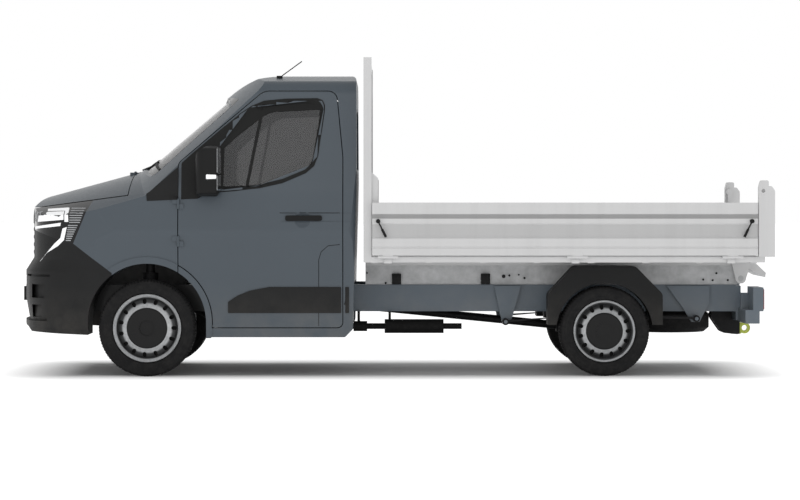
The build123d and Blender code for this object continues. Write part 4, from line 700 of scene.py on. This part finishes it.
class TRUCK_OT_tyres(bpy.types.Operator):
    """Tyres with ringed walls, ribbed tread and cut shoulders"""

    bl_idname = "truck.tyres"
    bl_label = "Tyres"

    def execute(self, context):
        settings = context.scene.truck_tyres
        for place, side in WHEELS:
            node = f"tyre_{place}_{side}"
            low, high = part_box(node)
            radius = (high.z - low.z) / 2
            half = (high.y - low.y) / 2
            middle = node_middle(node)
            bm = bmesh.new()
            lathe(bm, self.section(radius, half, settings.rim(place), settings), middle, 2 * settings.lugs)
            self.cut_lugs(bm, middle, radius, settings)
            piece = add_piece(f"treaded_{node}", bm, "tyre_rubber", f"wheel_{place}_{side}",
                              28.0)
            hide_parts(node)
        return {"FINISHED"}

    def section(self, radius, half, rim, settings):
        """Rows of radius and y, from one bead over the tread to the other."""
        side = [
            (rim - 0.012, half - 0.024), (rim + 0.002, half - 0.024), (rim + 0.008, half - 0.012),
            (rim + 0.014, half - 0.004), (rim + 0.020, half - 0.0025), (rim + 0.022, half - 0.0005),
            (rim + 0.030, half - 0.0005), (rim + 0.032, half - 0.0020), (radius - 0.062, half - 0.0012),
            (radius - 0.060, half), (radius - 0.045, half), (radius - 0.043, half - 0.0012),
            (radius - 0.028, half - 0.004), (radius - 0.018, half - 0.0085), (radius - 0.012, half - 0.012),
            (radius - 0.004, half - 0.021), (radius, half - 0.032),
        ]
        floor = radius - settings.groove_depth
        for middle in (settings.groove_outer, settings.groove_inner):
            edge = settings.groove_width / 2
            side += [(radius, middle + edge), (floor, middle + edge * 0.7), (floor, middle - edge * 0.7),
                     (radius, middle - edge)]
        return [(r, -y) for r, y in side] + [(r, y) for r, y in reversed(side)]

    def cut_lugs(self, bm, middle, radius, settings):
        """Press slots into the shoulders, and finer ones into the ribs between the grooves."""
        turn = math.tau / (2 * settings.lugs)
        inner_edge = settings.groove_outer + settings.groove_width / 2
        shoulder, rib = [], []
        for face in bm.faces:
            place = face.calc_center_median() - middle
            step = int(math.floor(math.atan2(place.z, place.x) / turn))
            reach = math.hypot(place.x, place.z)
            if reach > radius - SHOULDER_DROP and abs(place.y) > inner_edge and step % 2 == 0:
                shoulder.append(face)
            elif reach > radius - RIB_DROP and step % 2 == (1 if place.y > 0.0 else 0):
                rib.append(face)
        margin, depth = SHOULDER_SLOT
        bmesh.ops.inset_region(bm, faces=shoulder, thickness=margin, depth=-depth, use_even_offset=True)
        margin, depth = RIB_SLOT
        bmesh.ops.inset_individual(bm, faces=rib, thickness=margin, depth=-depth, use_even_offset=True)


# Thickness of the light guides, and of the fins and rings
GUIDE_THICK = 0.003
FIN_THICK = 0.002
# Light guides of a headlamp, columns x and z round each outline, on the left-hand lamp
LAMP_GUIDES = {
    "lamp_block": ((-864, 1248), (-793, 1250), (-791, 1274), (-649, 1280), (-649, 1216), (-872, 1199)),
    "lamp_top_guide": ((-796, 1298), (-622, 1309), (-614, 1286), (-790, 1283)),
    "lamp_corner_guide": ((-642, 1290), (-614, 1308), (-610, 1200), (-640, 1200)),
    "lamp_low_guide": ((-912, 1160), (-670, 1193), (-675, 1168), (-902, 1143)),
    "lamp_blade": ((-656, 1148), (-622, 1160), (-645, 1059), (-694, 1012), (-789, 957), (-851, 889),
                   (-724, 1029), (-673, 1075)),
}
# Stacks of fins in the lamp's rear corner: count, then front x, rear x and z of the lowest and highest fin
LAMP_FINS = ((7, (-603, -518, 1196), (-596, -478, 1304)), (8, (-630, -590, 1056), (-612, -535, 1172)))
FIN_HALF = 4.0
# Round lamp units seen from the front: middle y and z, radius; and the width of the ring round each
LAMP_UNITS = ((-640.0, 1240.0, 46.0), (-752.0, 1240.0, 40.0))
LAMP_RING = 8.0
RING_STEPS = 32


class TRUCK_OT_headlamps(bpy.types.Operator):
    """Light guides, fins and lamp units in the headlamps"""

    bl_idname = "truck.headlamps"
    bl_label = "Headlamps"

    def execute(self, context):
        nodes = ("headlamps", "front_bumper")
        for name, rows in LAMP_GUIDES.items():
            bm = trim_sheet(rows, nodes, "side", GUIDE_THICK, step=0.03)
            add_pair(name, bm, "light_guide", "chassis")
        fins = bmesh.new()
        for count, lowest, highest in LAMP_FINS:
            for i in range(count):
                share = i / (count - 1)
                front, rear, z = (low + (high - low) * share for low, high in zip(lowest, highest))
                foot, head = z - FIN_HALF, z + FIN_HALF
                rows = ((front, foot), (rear, foot), (rear, head), (front, head))
                join(fins, trim_sheet(rows, nodes, "side", FIN_THICK, step=0.03))
        add_pair("lamp_fins", fins, "lamp_fin", "chassis")
        turns = [math.tau * step / RING_STEPS for step in range(RING_STEPS)]
        for i, (y, z, radius) in enumerate(LAMP_UNITS):
            outer, inner = ([(y + r * math.cos(turn), z + r * math.sin(turn)) for turn in turns]
                            for r in (radius, radius - LAMP_RING))
            bm = trim_sheet(outer, ("headlamps",), "front", FIN_THICK, hole=inner, step=0.02)
            add_pair(f"lamp_bezel_{i}", bm, "lamp_fin", "chassis")
        return {"FINISHED"}


# Trim on the door and wing: outline columns x and z, piece it lies on, body, corner radius, thickness
SIDE_TRIM = {
    "side_moulding": (((629, 580), (700, 628), (800, 668), (947, 696), (1505, 696), (1505, 494), (629, 494)),
                      "door_left", "door_body_{}", 0.006, 0.007),
    "sill_moulding": (((1512, 696), (1566, 696), (1566, 494), (1512, 494)),
                      "cab_shell", "chassis", 0.003, 0.007),
    "wing_sail": (((-2, 1412), (2, 1362), (243, 1372), (243, 1625)), "front_wings", "chassis", 0.002, 0.005),
}
# Black surround of the door window, columns x and z: outer edge with the mirror's sail, and inner edge
SURROUND_OUTER = ((268, 1374), (268, 1655), (355, 1735), (460, 1825), (590, 1935), (712, 2035),
                  (815, 2105), (905, 2142), (1073, 2158), (1318, 2162), (1360, 2146), (1376, 2105),
                  (1373, 2058), (1326, 1709), (1295, 1632), (1231, 1577), (1051, 1500), (872, 1460),
                  (571, 1430), (470, 1420), (397, 1380))
SURROUND_INNER = ((592, 1474), (598, 1770), (713, 1877), (879, 2007), (935, 2040), (990, 2056),
                  (1337, 2072), (1333, 2000), (1285, 1690), (1262, 1640), (1226, 1605), (1051, 1532),
                  (868, 1488), (768, 1478))
SURROUND_THICK = 0.004
# Bars across the door window, lines of x and z, and their width and thickness
WINDOW_BARS = (((886, 2050), (776, 1478)),)
BAR_WIDTH = 24.0
BAR_THICK = 0.003
# Panel seams, lines of x and z on the door skin, and their width and thickness
SEAM_LINE = 5.0
SEAM_THICK = 0.0006
DOOR_SEAMS = {
    "seam_rear": ((1331, 392), (1332, 905), (1350, 967), (1404, 1015), (1495, 1025)),
    "seam_handle": ((1030, 1270), (1495, 1270)),
}


class TRUCK_OT_side_trim(bpy.types.Operator):
    """Mouldings, mirror sails, window seals and panel seams on the cab's sides"""

    bl_idname = "truck.side_trim"
    bl_label = "Side trim"

    def execute(self, context):
        for name, (rows, node, body, corner, thick) in SIDE_TRIM.items():
            bm = trim_sheet(rows, [node], "side", thick, corner)
            add_pair(name, bm, "bumper_plastic", body)
        for name, line in DOOR_SEAMS.items():
            bm = trim_sheet(strip(line, SEAM_LINE), ["door_left"], "side", SEAM_THICK, step=0.06)
            add_pair(name, bm, "seal_rubber", "door_body_{}")
        bm = trim_sheet(SURROUND_OUTER, ["door_left", "door_glass_left"], "side", SURROUND_THICK,
                        hole=SURROUND_INNER, step=0.05)
        add_pair("window_surround", bm, "surround_black", "door_body_{}")
        for i, bar in enumerate(WINDOW_BARS):
            bm = trim_sheet(strip(bar, BAR_WIDTH), ["door_glass_left"], "side", BAR_THICK)
            add_pair(f"window_bar_{i}", bm, "surround_black", "door_body_{}")
        return {"FINISHED"}


# Mirror glass: margin in the shell, width, drop of the split below the shell's middle, gap at the split,
# room below the lower glass, corner radius, thickness
MIRROR_INSET = 16.0
MIRROR_WIDTH = 134.0
MIRROR_SPLIT = 20.0
MIRROR_GAP = 12.0
MIRROR_FOOT = 40.0
MIRROR_CORNER = 0.012
MIRROR_THICK = 0.002
# Turn signal in the mirror's shell, columns x and z, and its corner radius
TURN_SIGNAL = ((475, 1529), (551, 1532), (551, 1562), (475, 1565))
SIGNAL_CORNER = 0.006


class TRUCK_OT_mirrors(bpy.types.Operator):
    """Mirror glass and the turn signal in each mirror's shell"""

    bl_idname = "truck.mirrors"
    bl_label = "Mirrors"

    def execute(self, context):
        low, high = (1000.0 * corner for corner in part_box("mirror_left"))
        body = BODY_OF["mirror_left"].replace("left", "{}")
        split = (low.z + high.z) / 2 - MIRROR_SPLIT
        outer = low.y + MIRROR_INSET
        inner = outer + MIRROR_WIDTH
        panes = {"mirror_glass": (split, high.z - MIRROR_INSET),
                 "mirror_wide_glass": (low.z + MIRROR_FOOT, split - MIRROR_GAP)}
        for name, (foot, head) in panes.items():
            rows = ((outer, foot), (inner, foot), (inner, head), (outer, head))
            bm = trim_sheet(rows, ["mirror_left"], "rear", MIRROR_THICK, MIRROR_CORNER, step=0.05)
            add_pair(name, bm, "mirror_silver", body)
        bm = trim_sheet(TURN_SIGNAL, ["mirror_left"], "side", GUIDE_THICK, SIGNAL_CORNER)
        add_pair("turn_signal", bm, "light_guide", body)
        return {"FINISHED"}


# Windscreen in front view, columns y and z, with its border's width, corner radius and thickness
SCREEN = ((0, 1640), (400, 1616), (790, 1545), (705, 2165), (350, 2182), (0, 2187), (-350, 2182),
          (-705, 2165), (-790, 1545), (-400, 1616))
SCREEN_BORDER = 0.045
SCREEN_CORNER = 0.04
SCREEN_THICK = 0.001
# Wipers in front view: finish, width, thickness, and a line of y and z for each
WIPERS = {
    "wiper_blade": ("seal_rubber", 14.0, 0.009, (((-690, 1604), (-330, 1660), (40, 1684)),
                                                 ((60, 1668), (400, 1650), (700, 1600)))),
    "wiper_arm": ("guard_plastic", 16.0, 0.013, (((-120, 1612), (-230, 1648), (-330, 1664)),
                                                 ((560, 1566), (480, 1620), (400, 1654)))),
}


class TRUCK_OT_windscreen(bpy.types.Operator):
    """Black windscreen border and two wipers"""

    bl_idname = "truck.windscreen"
    bl_label = "Windscreen"

    def execute(self, context):
        nodes = ["cab_glass", "cab_shell"]
        bm = trim_sheet(SCREEN, nodes, "front", SCREEN_THICK, SCREEN_CORNER, SCREEN_BORDER, step=0.05)
        add_piece("screen_border", bm, "screen_black", "chassis")
        for name, (finish_name, width, thick, lines) in WIPERS.items():
            for i, line in enumerate(lines):
                bm = trim_sheet(strip(line, width), nodes, "front", thick, step=0.05)
                add_piece(f"{name}_{i}", bm, finish_name, "chassis")
        return {"FINISHED"}


# Lenses of a rear lamp, outer and inner y off the middle, with their finishes
REAR_LENSES = ((918.0, 812.0, "red_lens"), (806.0, 704.0, "amber_lens"), (698.0, 592.0, "white_lens"))
# Foot and head of a lens below the lamp box's top, and how far it reaches into and out of the box
LENS_FOOT = 0.172
LENS_HEAD = 0.012
LENS_SINK = 0.004
LENS_PROUD = 0.009


class TRUCK_OT_rear_lamps(bpy.types.Operator):
    """Red, amber and white lenses on the rear lamp boxes"""

    bl_idname = "truck.rear_lamps"
    bl_label = "Rear lamps"

    def execute(self, context):
        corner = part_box("rear_lamps")[1]
        for i, (outer, inner, colour) in enumerate(REAR_LENSES):
            bm = bmesh.new()
            foot = Vector((corner.x - LENS_SINK, -outer / 1000.0, corner.z - LENS_FOOT))
            head = Vector((corner.x + LENS_PROUD, -inner / 1000.0, corner.z - LENS_HEAD))
            rounded_box(bm, foot, head, 0.006, 3)
            add_pair(f"rear_lens_{i}", bm, colour, "chassis")
        return {"FINISHED"}


# Hinge plates on the bed's edge rail: x of each middle, half length, y of the rail's face, foot and head z
DROPSIDE_HINGES = (1868.0, 3316.0, 4517.0)
HINGE_HALF = 30.0
BED_RAIL_Y = -1058.0
HINGE_Z = (880.0, 918.0)
# Clamp pads on the subframe: front and rear x, foot and head z
SUBFRAME_PADS = ((1900.0, 1972.0), (2605.0, 2677.0))
PAD_Z = (704.0, 788.0)
# How far a hinge plate and a pad reach out of the face they sit on, and into it
HINGE_REACH = (14.0, 4.0)
PAD_REACH = (9.0, 3.0)
# Bolts on the subframe's side, columns x, z, radius
SUBFRAME_BOLTS = ((1702, 792, 5), (1850, 712, 6), (2785, 765, 10), (2830, 772, 6), (2905, 778, 5),
                  (2950, 752, 6), (4365, 740, 6), (4440, 735, 6), (4470, 790, 6), (4560, 735, 6))


class TRUCK_OT_bed_fittings(bpy.types.Operator):
    """Dropside hinges, clamp pads and bolts on the bed and its subframe"""

    bl_idname = "truck.bed_fittings"
    bl_label = "Bed fittings"

    def execute(self, context):
        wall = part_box("tipper_subframe")[0].y * 1000.0
        hinges = [(x - HINGE_HALF, x + HINGE_HALF) for x in DROPSIDE_HINGES]
        bm = self.plates(hinges, BED_RAIL_Y, HINGE_REACH, HINGE_Z, 0.002)
        add_pair("dropside_hinges", bm, "bed_paint", "bed")
        bm = self.plates(SUBFRAME_PADS, wall, PAD_REACH, PAD_Z, 0.004)
        add_pair("subframe_pads", bm, "guard_plastic", "chassis")
        bm = bmesh.new()
        outwards = Matrix.Rotation(math.radians(90), 3, "X")
        for x, z, radius in SUBFRAME_BOLTS:
            bolt(bm, spot(x, wall, z), outwards, radius / 1000.0, radius / 2000.0)
        add_pair("subframe_bolts", bm, "black_steel", "chassis")
        return {"FINISHED"}

    def plates(self, rows, face, reach, heights, radius):
        """Rounded plates on a face, one for each row of front and rear x."""
        bm = bmesh.new()
        foot, head = heights
        out, sink = reach
        for front, rear in rows:
            rounded_box(bm, spot(front, face - out, foot), spot(rear, face + sink, head), radius)
        return bm


# Ring that closes the view through a rim's vents: share of the rim at its inner edge, and how far its outer
# edge stays inside the rim
BRAKE_SHARE = 0.66
BRAKE_DROP = 0.036
BRAKE_LIP = 0.005
# Depth of the ring's faces behind the tyre's outer face
BRAKE_NEAR = 0.070
BRAKE_FACE = 0.088
BRAKE_BACK = 0.100


class TRUCK_OT_brakes(bpy.types.Operator):
    """Iron brake rings behind the vents of the rims"""

    bl_idname = "truck.brakes"
    bl_label = "Brakes"

    def execute(self, context):
        for place, side in WHEELS:
            low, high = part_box(f"tyre_{place}_{side}")
            half = (high.y - low.y) / 2
            rim = context.scene.truck_tyres.rim(place)
            inner = rim * BRAKE_SHARE
            outer = rim - BRAKE_DROP
            rows = ((inner, BRAKE_FACE), (outer - BRAKE_LIP, BRAKE_FACE), (outer - BRAKE_LIP, BRAKE_NEAR),
                    (outer, BRAKE_NEAR), (outer, BRAKE_BACK), (inner, BRAKE_BACK))
            bm = bmesh.new()
            lathe(bm, [(r, SIDES[side] * (half - depth)) for r, depth in rows], (low + high) / 2, 72)
            add_piece(f"brake_ring_{place}_{side}", bm, "brake_iron", f"wheel_{place}_{side}")
        return {"FINISHED"}


# Seats from left to right: columns y of the left and right side, and how many pads share it
SEATS = {"driver_seat": (-700.0, -180.0, 1), "bench_seat": (-120.0, 760.0, 2)}
# Side outlines of a seat's pads, columns x and z, and how far inside the seat each pad's sides stay
SEAT_PADS = (
    (((974, 954), (958, 1040), (1384, 1016), (1370, 954)), 16.0),
    (((1398, 964), (1414, 1040), (1440, 1545), (1508, 1545), (1522, 1010)), 16.0),
    (((1450, 1590), (1455, 1758), (1508, 1758), (1512, 1590)), 115.0),
)
# Base under each seat: x and z of its front foot and its rear head, and how far it stays inside the seat
SEAT_BASE = ((1000.0, 762.0), (1360.0, 944.0))
BASE_INSET = 60.0
# Headrest posts: x and z of their middle, half the room between a pair, radius and length
POST_X, POST_Z = 1478.0, 1565.0
POST_HALF = 70.0
POST_RADIUS = 0.006
POST_LENGTH = 0.11
# Stuffing: grid of the cloth, frames that it swells for, pressure in it and how far it swells
PAD_VOXEL = 0.008
PAD_FRAMES = 20
PAD_PRESSURE = 4.0
PAD_SWELL = 0.014
# Sewn channels: places across a pad as shares of its width, width and depth
SEAMS = (0.24, 0.76)
SEAM_WIDTH = 0.012
SEAM_DEPTH = 0.007


class TRUCK_OT_seats(bpy.types.Operator):
    """Padded seats on plastic bases, with headrests on steel posts"""

    bl_idname = "truck.seats"
    bl_label = "Seats"

    def execute(self, context):
        bases, posts = bmesh.new(), bmesh.new()
        for name, (left, right, count) in SEATS.items():
            bm = bmesh.new()
            width = (right - left) / count
            for i in range(count):
                start = left + width * i
                for rows, narrow in SEAT_PADS:
                    self.pad(bm, rows, start + narrow, start + width - narrow)
                for y in (start + width / 2 - POST_HALF, start + width / 2 + POST_HALF):
                    bmesh.ops.create_cone(posts, cap_ends=True, segments=16, radius1=POST_RADIUS,
                                          radius2=POST_RADIUS, depth=POST_LENGTH,
                                          matrix=Matrix.Translation(spot(POST_X, y, POST_Z)))
            (front, foot), (rear, head) = SEAT_BASE
            rounded_box(bases, spot(front, left + BASE_INSET, foot), spot(rear, right - BASE_INSET, head),
                        0.02, 3)
            piece = add_piece(f"{name}_pads", bm, "seat_fabric", "chassis", 60.0)
            self.puff(piece)
            self.press_seams(piece, left, width, count)
            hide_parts("seats")
        add_piece("seat_bases", bases, "cabin_plastic", "chassis")
        add_piece("headrest_posts", posts, "hoist_steel", "chassis")
        return {"FINISHED"}

    def pad(self, bm, rows, left, right):
        """Closed pad of one side outline with rounded edges."""
        face = bm.faces.new([bm.verts.new(spot(x, left, z)) for x, z in rows])
        made = bmesh.ops.extrude_face_region(bm, geom=[face])["geom"]
        top = [item for item in made if isinstance(item, bmesh.types.BMVert)]
        bmesh.ops.translate(bm, vec=(0.0, (right - left) / 1000.0, 0.0), verts=top)
        verts = set(face.verts) | set(top)
        edges = list({edge for vert in verts for edge in vert.link_edges})
        bmesh.ops.bevel(bm, geom=edges, offset=0.022, affect="EDGES", segments=3, profile=0.5, material=-1)
        bmesh.ops.recalc_face_normals(bm, faces=bm.faces[:])

    def settle(self, piece):
        """Take the shape that a piece's modifiers give it as its own mesh."""
        graph = bpy.context.evaluated_depsgraph_get()
        mesh = bpy.data.meshes.new_from_object(piece.evaluated_get(graph))
        piece.modifiers.clear()
        piece.data = mesh
        return mesh

    def puff(self, piece):
        """Swell the pads as stuffed cloth, with no point moved further than the swell."""
        scene = bpy.context.scene
        cells = piece.modifiers.new("cells", "REMESH")
        cells.mode = "VOXEL"
        cells.voxel_size = PAD_VOXEL
        start = [vert.co.copy() for vert in self.settle(piece).vertices]
        cloth = piece.modifiers.new("stuffing", "CLOTH")
        cloth.settings.use_pressure = True
        cloth.settings.uniform_pressure_force = PAD_PRESSURE
        cloth.settings.effector_weights.gravity = 0.0
        cloth.collision_settings.use_collision = False
        cloth.point_cache.frame_end = PAD_FRAMES
        for number in range(1, PAD_FRAMES + 1):
            scene.frame_set(number)
        mesh = self.settle(piece)
        for vert, old in zip(mesh.vertices, start):
            move = vert.co - old
            if move.length > PAD_SWELL:
                vert.co = old + move.normalized() * PAD_SWELL
        scene.frame_set(1)
        mesh.shade_smooth()

    def press_seams(self, piece, left, width, count):
        """Sewn channels along the pads."""
        seams = [(left + width * (i + share)) / 1000.0 for i in range(count) for share in SEAMS]
        for vert, normal in zip(piece.data.vertices, [v.normal.copy() for v in piece.data.vertices]):
            off = min(abs(vert.co.y - seam) for seam in seams)
            if off < SEAM_WIDTH:
                vert.co -= normal * SEAM_DEPTH * (1.0 - off / SEAM_WIDTH) ** 2


# Softboxes: power's name in the settings, size, place, and tilt in degrees
SOFTBOXES = {
    "overhead_softbox": ("key", (9.0, 6.0), (0.0, -1.0, 7.5), 0.0),
    "side_softbox": ("fill", (9.0, 3.0), (-2.0, -9.0, 5.0), 66.0),
}
# Upward slope at which the room light starts to fade towards its strength overhead
FADE_START = 0.1
FLOOR_HALF = 150.0
# Edge of the shadow painted on the floor by taking its glow away round the truck: how far inside the truck's
# box the glow starts, and the width of its rise
GLOW_INSET = 0.5
GLOW_RISE = 0.65


class TRUCK_OT_stage(bpy.types.Operator):
    """Floor, room light, softboxes and camera"""

    bl_idname = "truck.stage"
    bl_label = "Stage"

    def execute(self, context):
        scene = context.scene
        settings = scene.truck_stage
        self.floor(settings)
        scene.world = self.room(settings)
        for name, (power, size, place, tilt) in SOFTBOXES.items():
            self.softbox(name, getattr(settings, power), size, place, tilt)
        self.camera(scene, settings)
        scene.view_settings.view_transform = "Standard"
        return {"FINISHED"}

    def room(self, settings):
        """White room that is darker overhead."""
        world = bpy.data.worlds.new("studio_room")
        world.use_nodes = True
        tree = world.node_tree
        up = tree.nodes.new("ShaderNodeSeparateXYZ")
        fade = tree.nodes.new("ShaderNodeMapRange")
        fade.inputs["From Min"].default_value = FADE_START
        fade.inputs["To Min"].default_value = settings.sky
        fade.inputs["To Max"].default_value = settings.zenith
        tree.links.new(tree.nodes.new("ShaderNodeTexCoord").outputs["Generated"], up.inputs[0])
        tree.links.new(up.outputs["Z"], fade.inputs["Value"])
        background = tree.nodes["Background"]
        background.inputs["Color"].default_value = (1.0, 1.0, 1.0, 1.0)
        tree.links.new(fade.outputs["Result"], background.inputs["Strength"])
        return world

    def floor(self, settings):
        """Wide pale floor that glows except in a box round the truck, which paints a soft shadow there beside
        the shadow the lights cast.
        """
        bm = bmesh.new()
        bmesh.ops.create_grid(bm, x_segments=1, y_segments=1, size=FLOOR_HALF)
        bmesh.ops.translate(bm, vec=(0, 0, GROUND_Z), verts=bm.verts)
        mesh = bpy.data.meshes.new("studio_floor")
        bm.to_mesh(mesh)
        bm.free()
        made = Finish("studio_floor", 0.75, specular_ior_level=0.1, emission_color=(1.0, 1.0, 1.0))
        tone = tuple(settings.floor)
        made.set(base_color=made.blend(made.noise(0.6, 2.0), tone, tinted(tone, 1.02)))
        # Painted shadow: the glow fades to nothing inside a rounded box round the truck
        half = (CAD_BOX[1] - CAD_BOX[0]) / 2
        past = []
        for letter, reach in (("X", half.x), ("Y", half.y)):
            off = made.math("ABSOLUTE", made.axis(letter))
            past.append(made.math("MAXIMUM", made.math("SUBTRACT", off, reach - GLOW_INSET)))
        made.set(emission_strength=made.span(made.length(*past), 0.0, GLOW_RISE, 0.0, settings.glow))
        mesh.materials.append(made.material)
        floor = bpy.data.objects.new("studio_floor", mesh)
        bpy.context.scene.collection.objects.link(floor)

    def softbox(self, name, power, size, place, tilt):
        """Large area light, facing down before its tilt."""
        light = bpy.data.lights.new(name, "AREA")
        light.shape = "RECTANGLE"
        light.size, light.size_y = size
        light.energy = power
        lamp = bpy.data.objects.new(name, light)
        lamp.location = place
        lamp.rotation_euler = (math.radians(tilt), 0.0, 0.0)
        bpy.context.scene.collection.objects.link(lamp)

    def camera(self, scene, settings):
        """Side view, level, with the horizon above the middle of the image."""
        data = bpy.data.cameras.new("side_camera")
        data.sensor_width = SENSOR
        data.lens = settings.lens
        data.shift_x = (IMAGE_WIDTH / 2 - settings.vanishing) / IMAGE_WIDTH
        data.shift_y = (settings.horizon - IMAGE_HEIGHT / 2) / IMAGE_WIDTH
        data.clip_end = 500.0
        camera = bpy.data.objects.new("side_camera", data)
        camera.location = settings.camera_place
        camera.rotation_euler = (math.radians(90.0), 0.0, 0.0)
        scene.collection.objects.link(camera)
        scene.camera = camera


class TRUCK_PT_panel(bpy.types.Panel):
    """Sizes, colours and steps of the truck"""

    bl_idname = "TRUCK_PT_panel"
    bl_label = "Tipper truck"
    bl_space_type = "VIEW_3D"
    bl_region_type = "UI"
    bl_category = "Tipper"

    def draw(self, context):
        layout = self.layout
        for group_name, group in GROUPS:
            for name in group.__annotations__:
                layout.prop(getattr(context.scene, group_name), name)
        for step in STEPS:
            layout.operator(step.bl_idname)


GROUPS = (("truck_colours", TruckColours), ("truck_tyres", TruckTyres), ("truck_stage", TruckStage))
STEPS = (TRUCK_OT_finishes, TRUCK_OT_tyres, TRUCK_OT_headlamps, TRUCK_OT_windscreen, TRUCK_OT_side_trim,
         TRUCK_OT_mirrors, TRUCK_OT_bed_fittings, TRUCK_OT_rear_lamps, TRUCK_OT_brakes, TRUCK_OT_seats,
         TRUCK_OT_stage)


def register():
    """Make the properties, operators and panel known."""
    for name, group in GROUPS:
        bpy.utils.register_class(group)
        setattr(bpy.types.Scene, name, PointerProperty(type=group))
    for step in (*STEPS, TRUCK_PT_panel):
        bpy.utils.register_class(step)


def unregister():
    """Take them away again."""
    for step in reversed((*STEPS, TRUCK_PT_panel)):
        bpy.utils.unregister_class(step)
    for name, group in reversed(GROUPS):
        delattr(bpy.types.Scene, name)
        bpy.utils.unregister_class(group)


def main():
    """Run every step in order."""
    register()
    for step in STEPS:
        area, name = step.bl_idname.split(".")
        getattr(getattr(bpy.ops, area), name)()


if __name__ == "__main__":
    main()
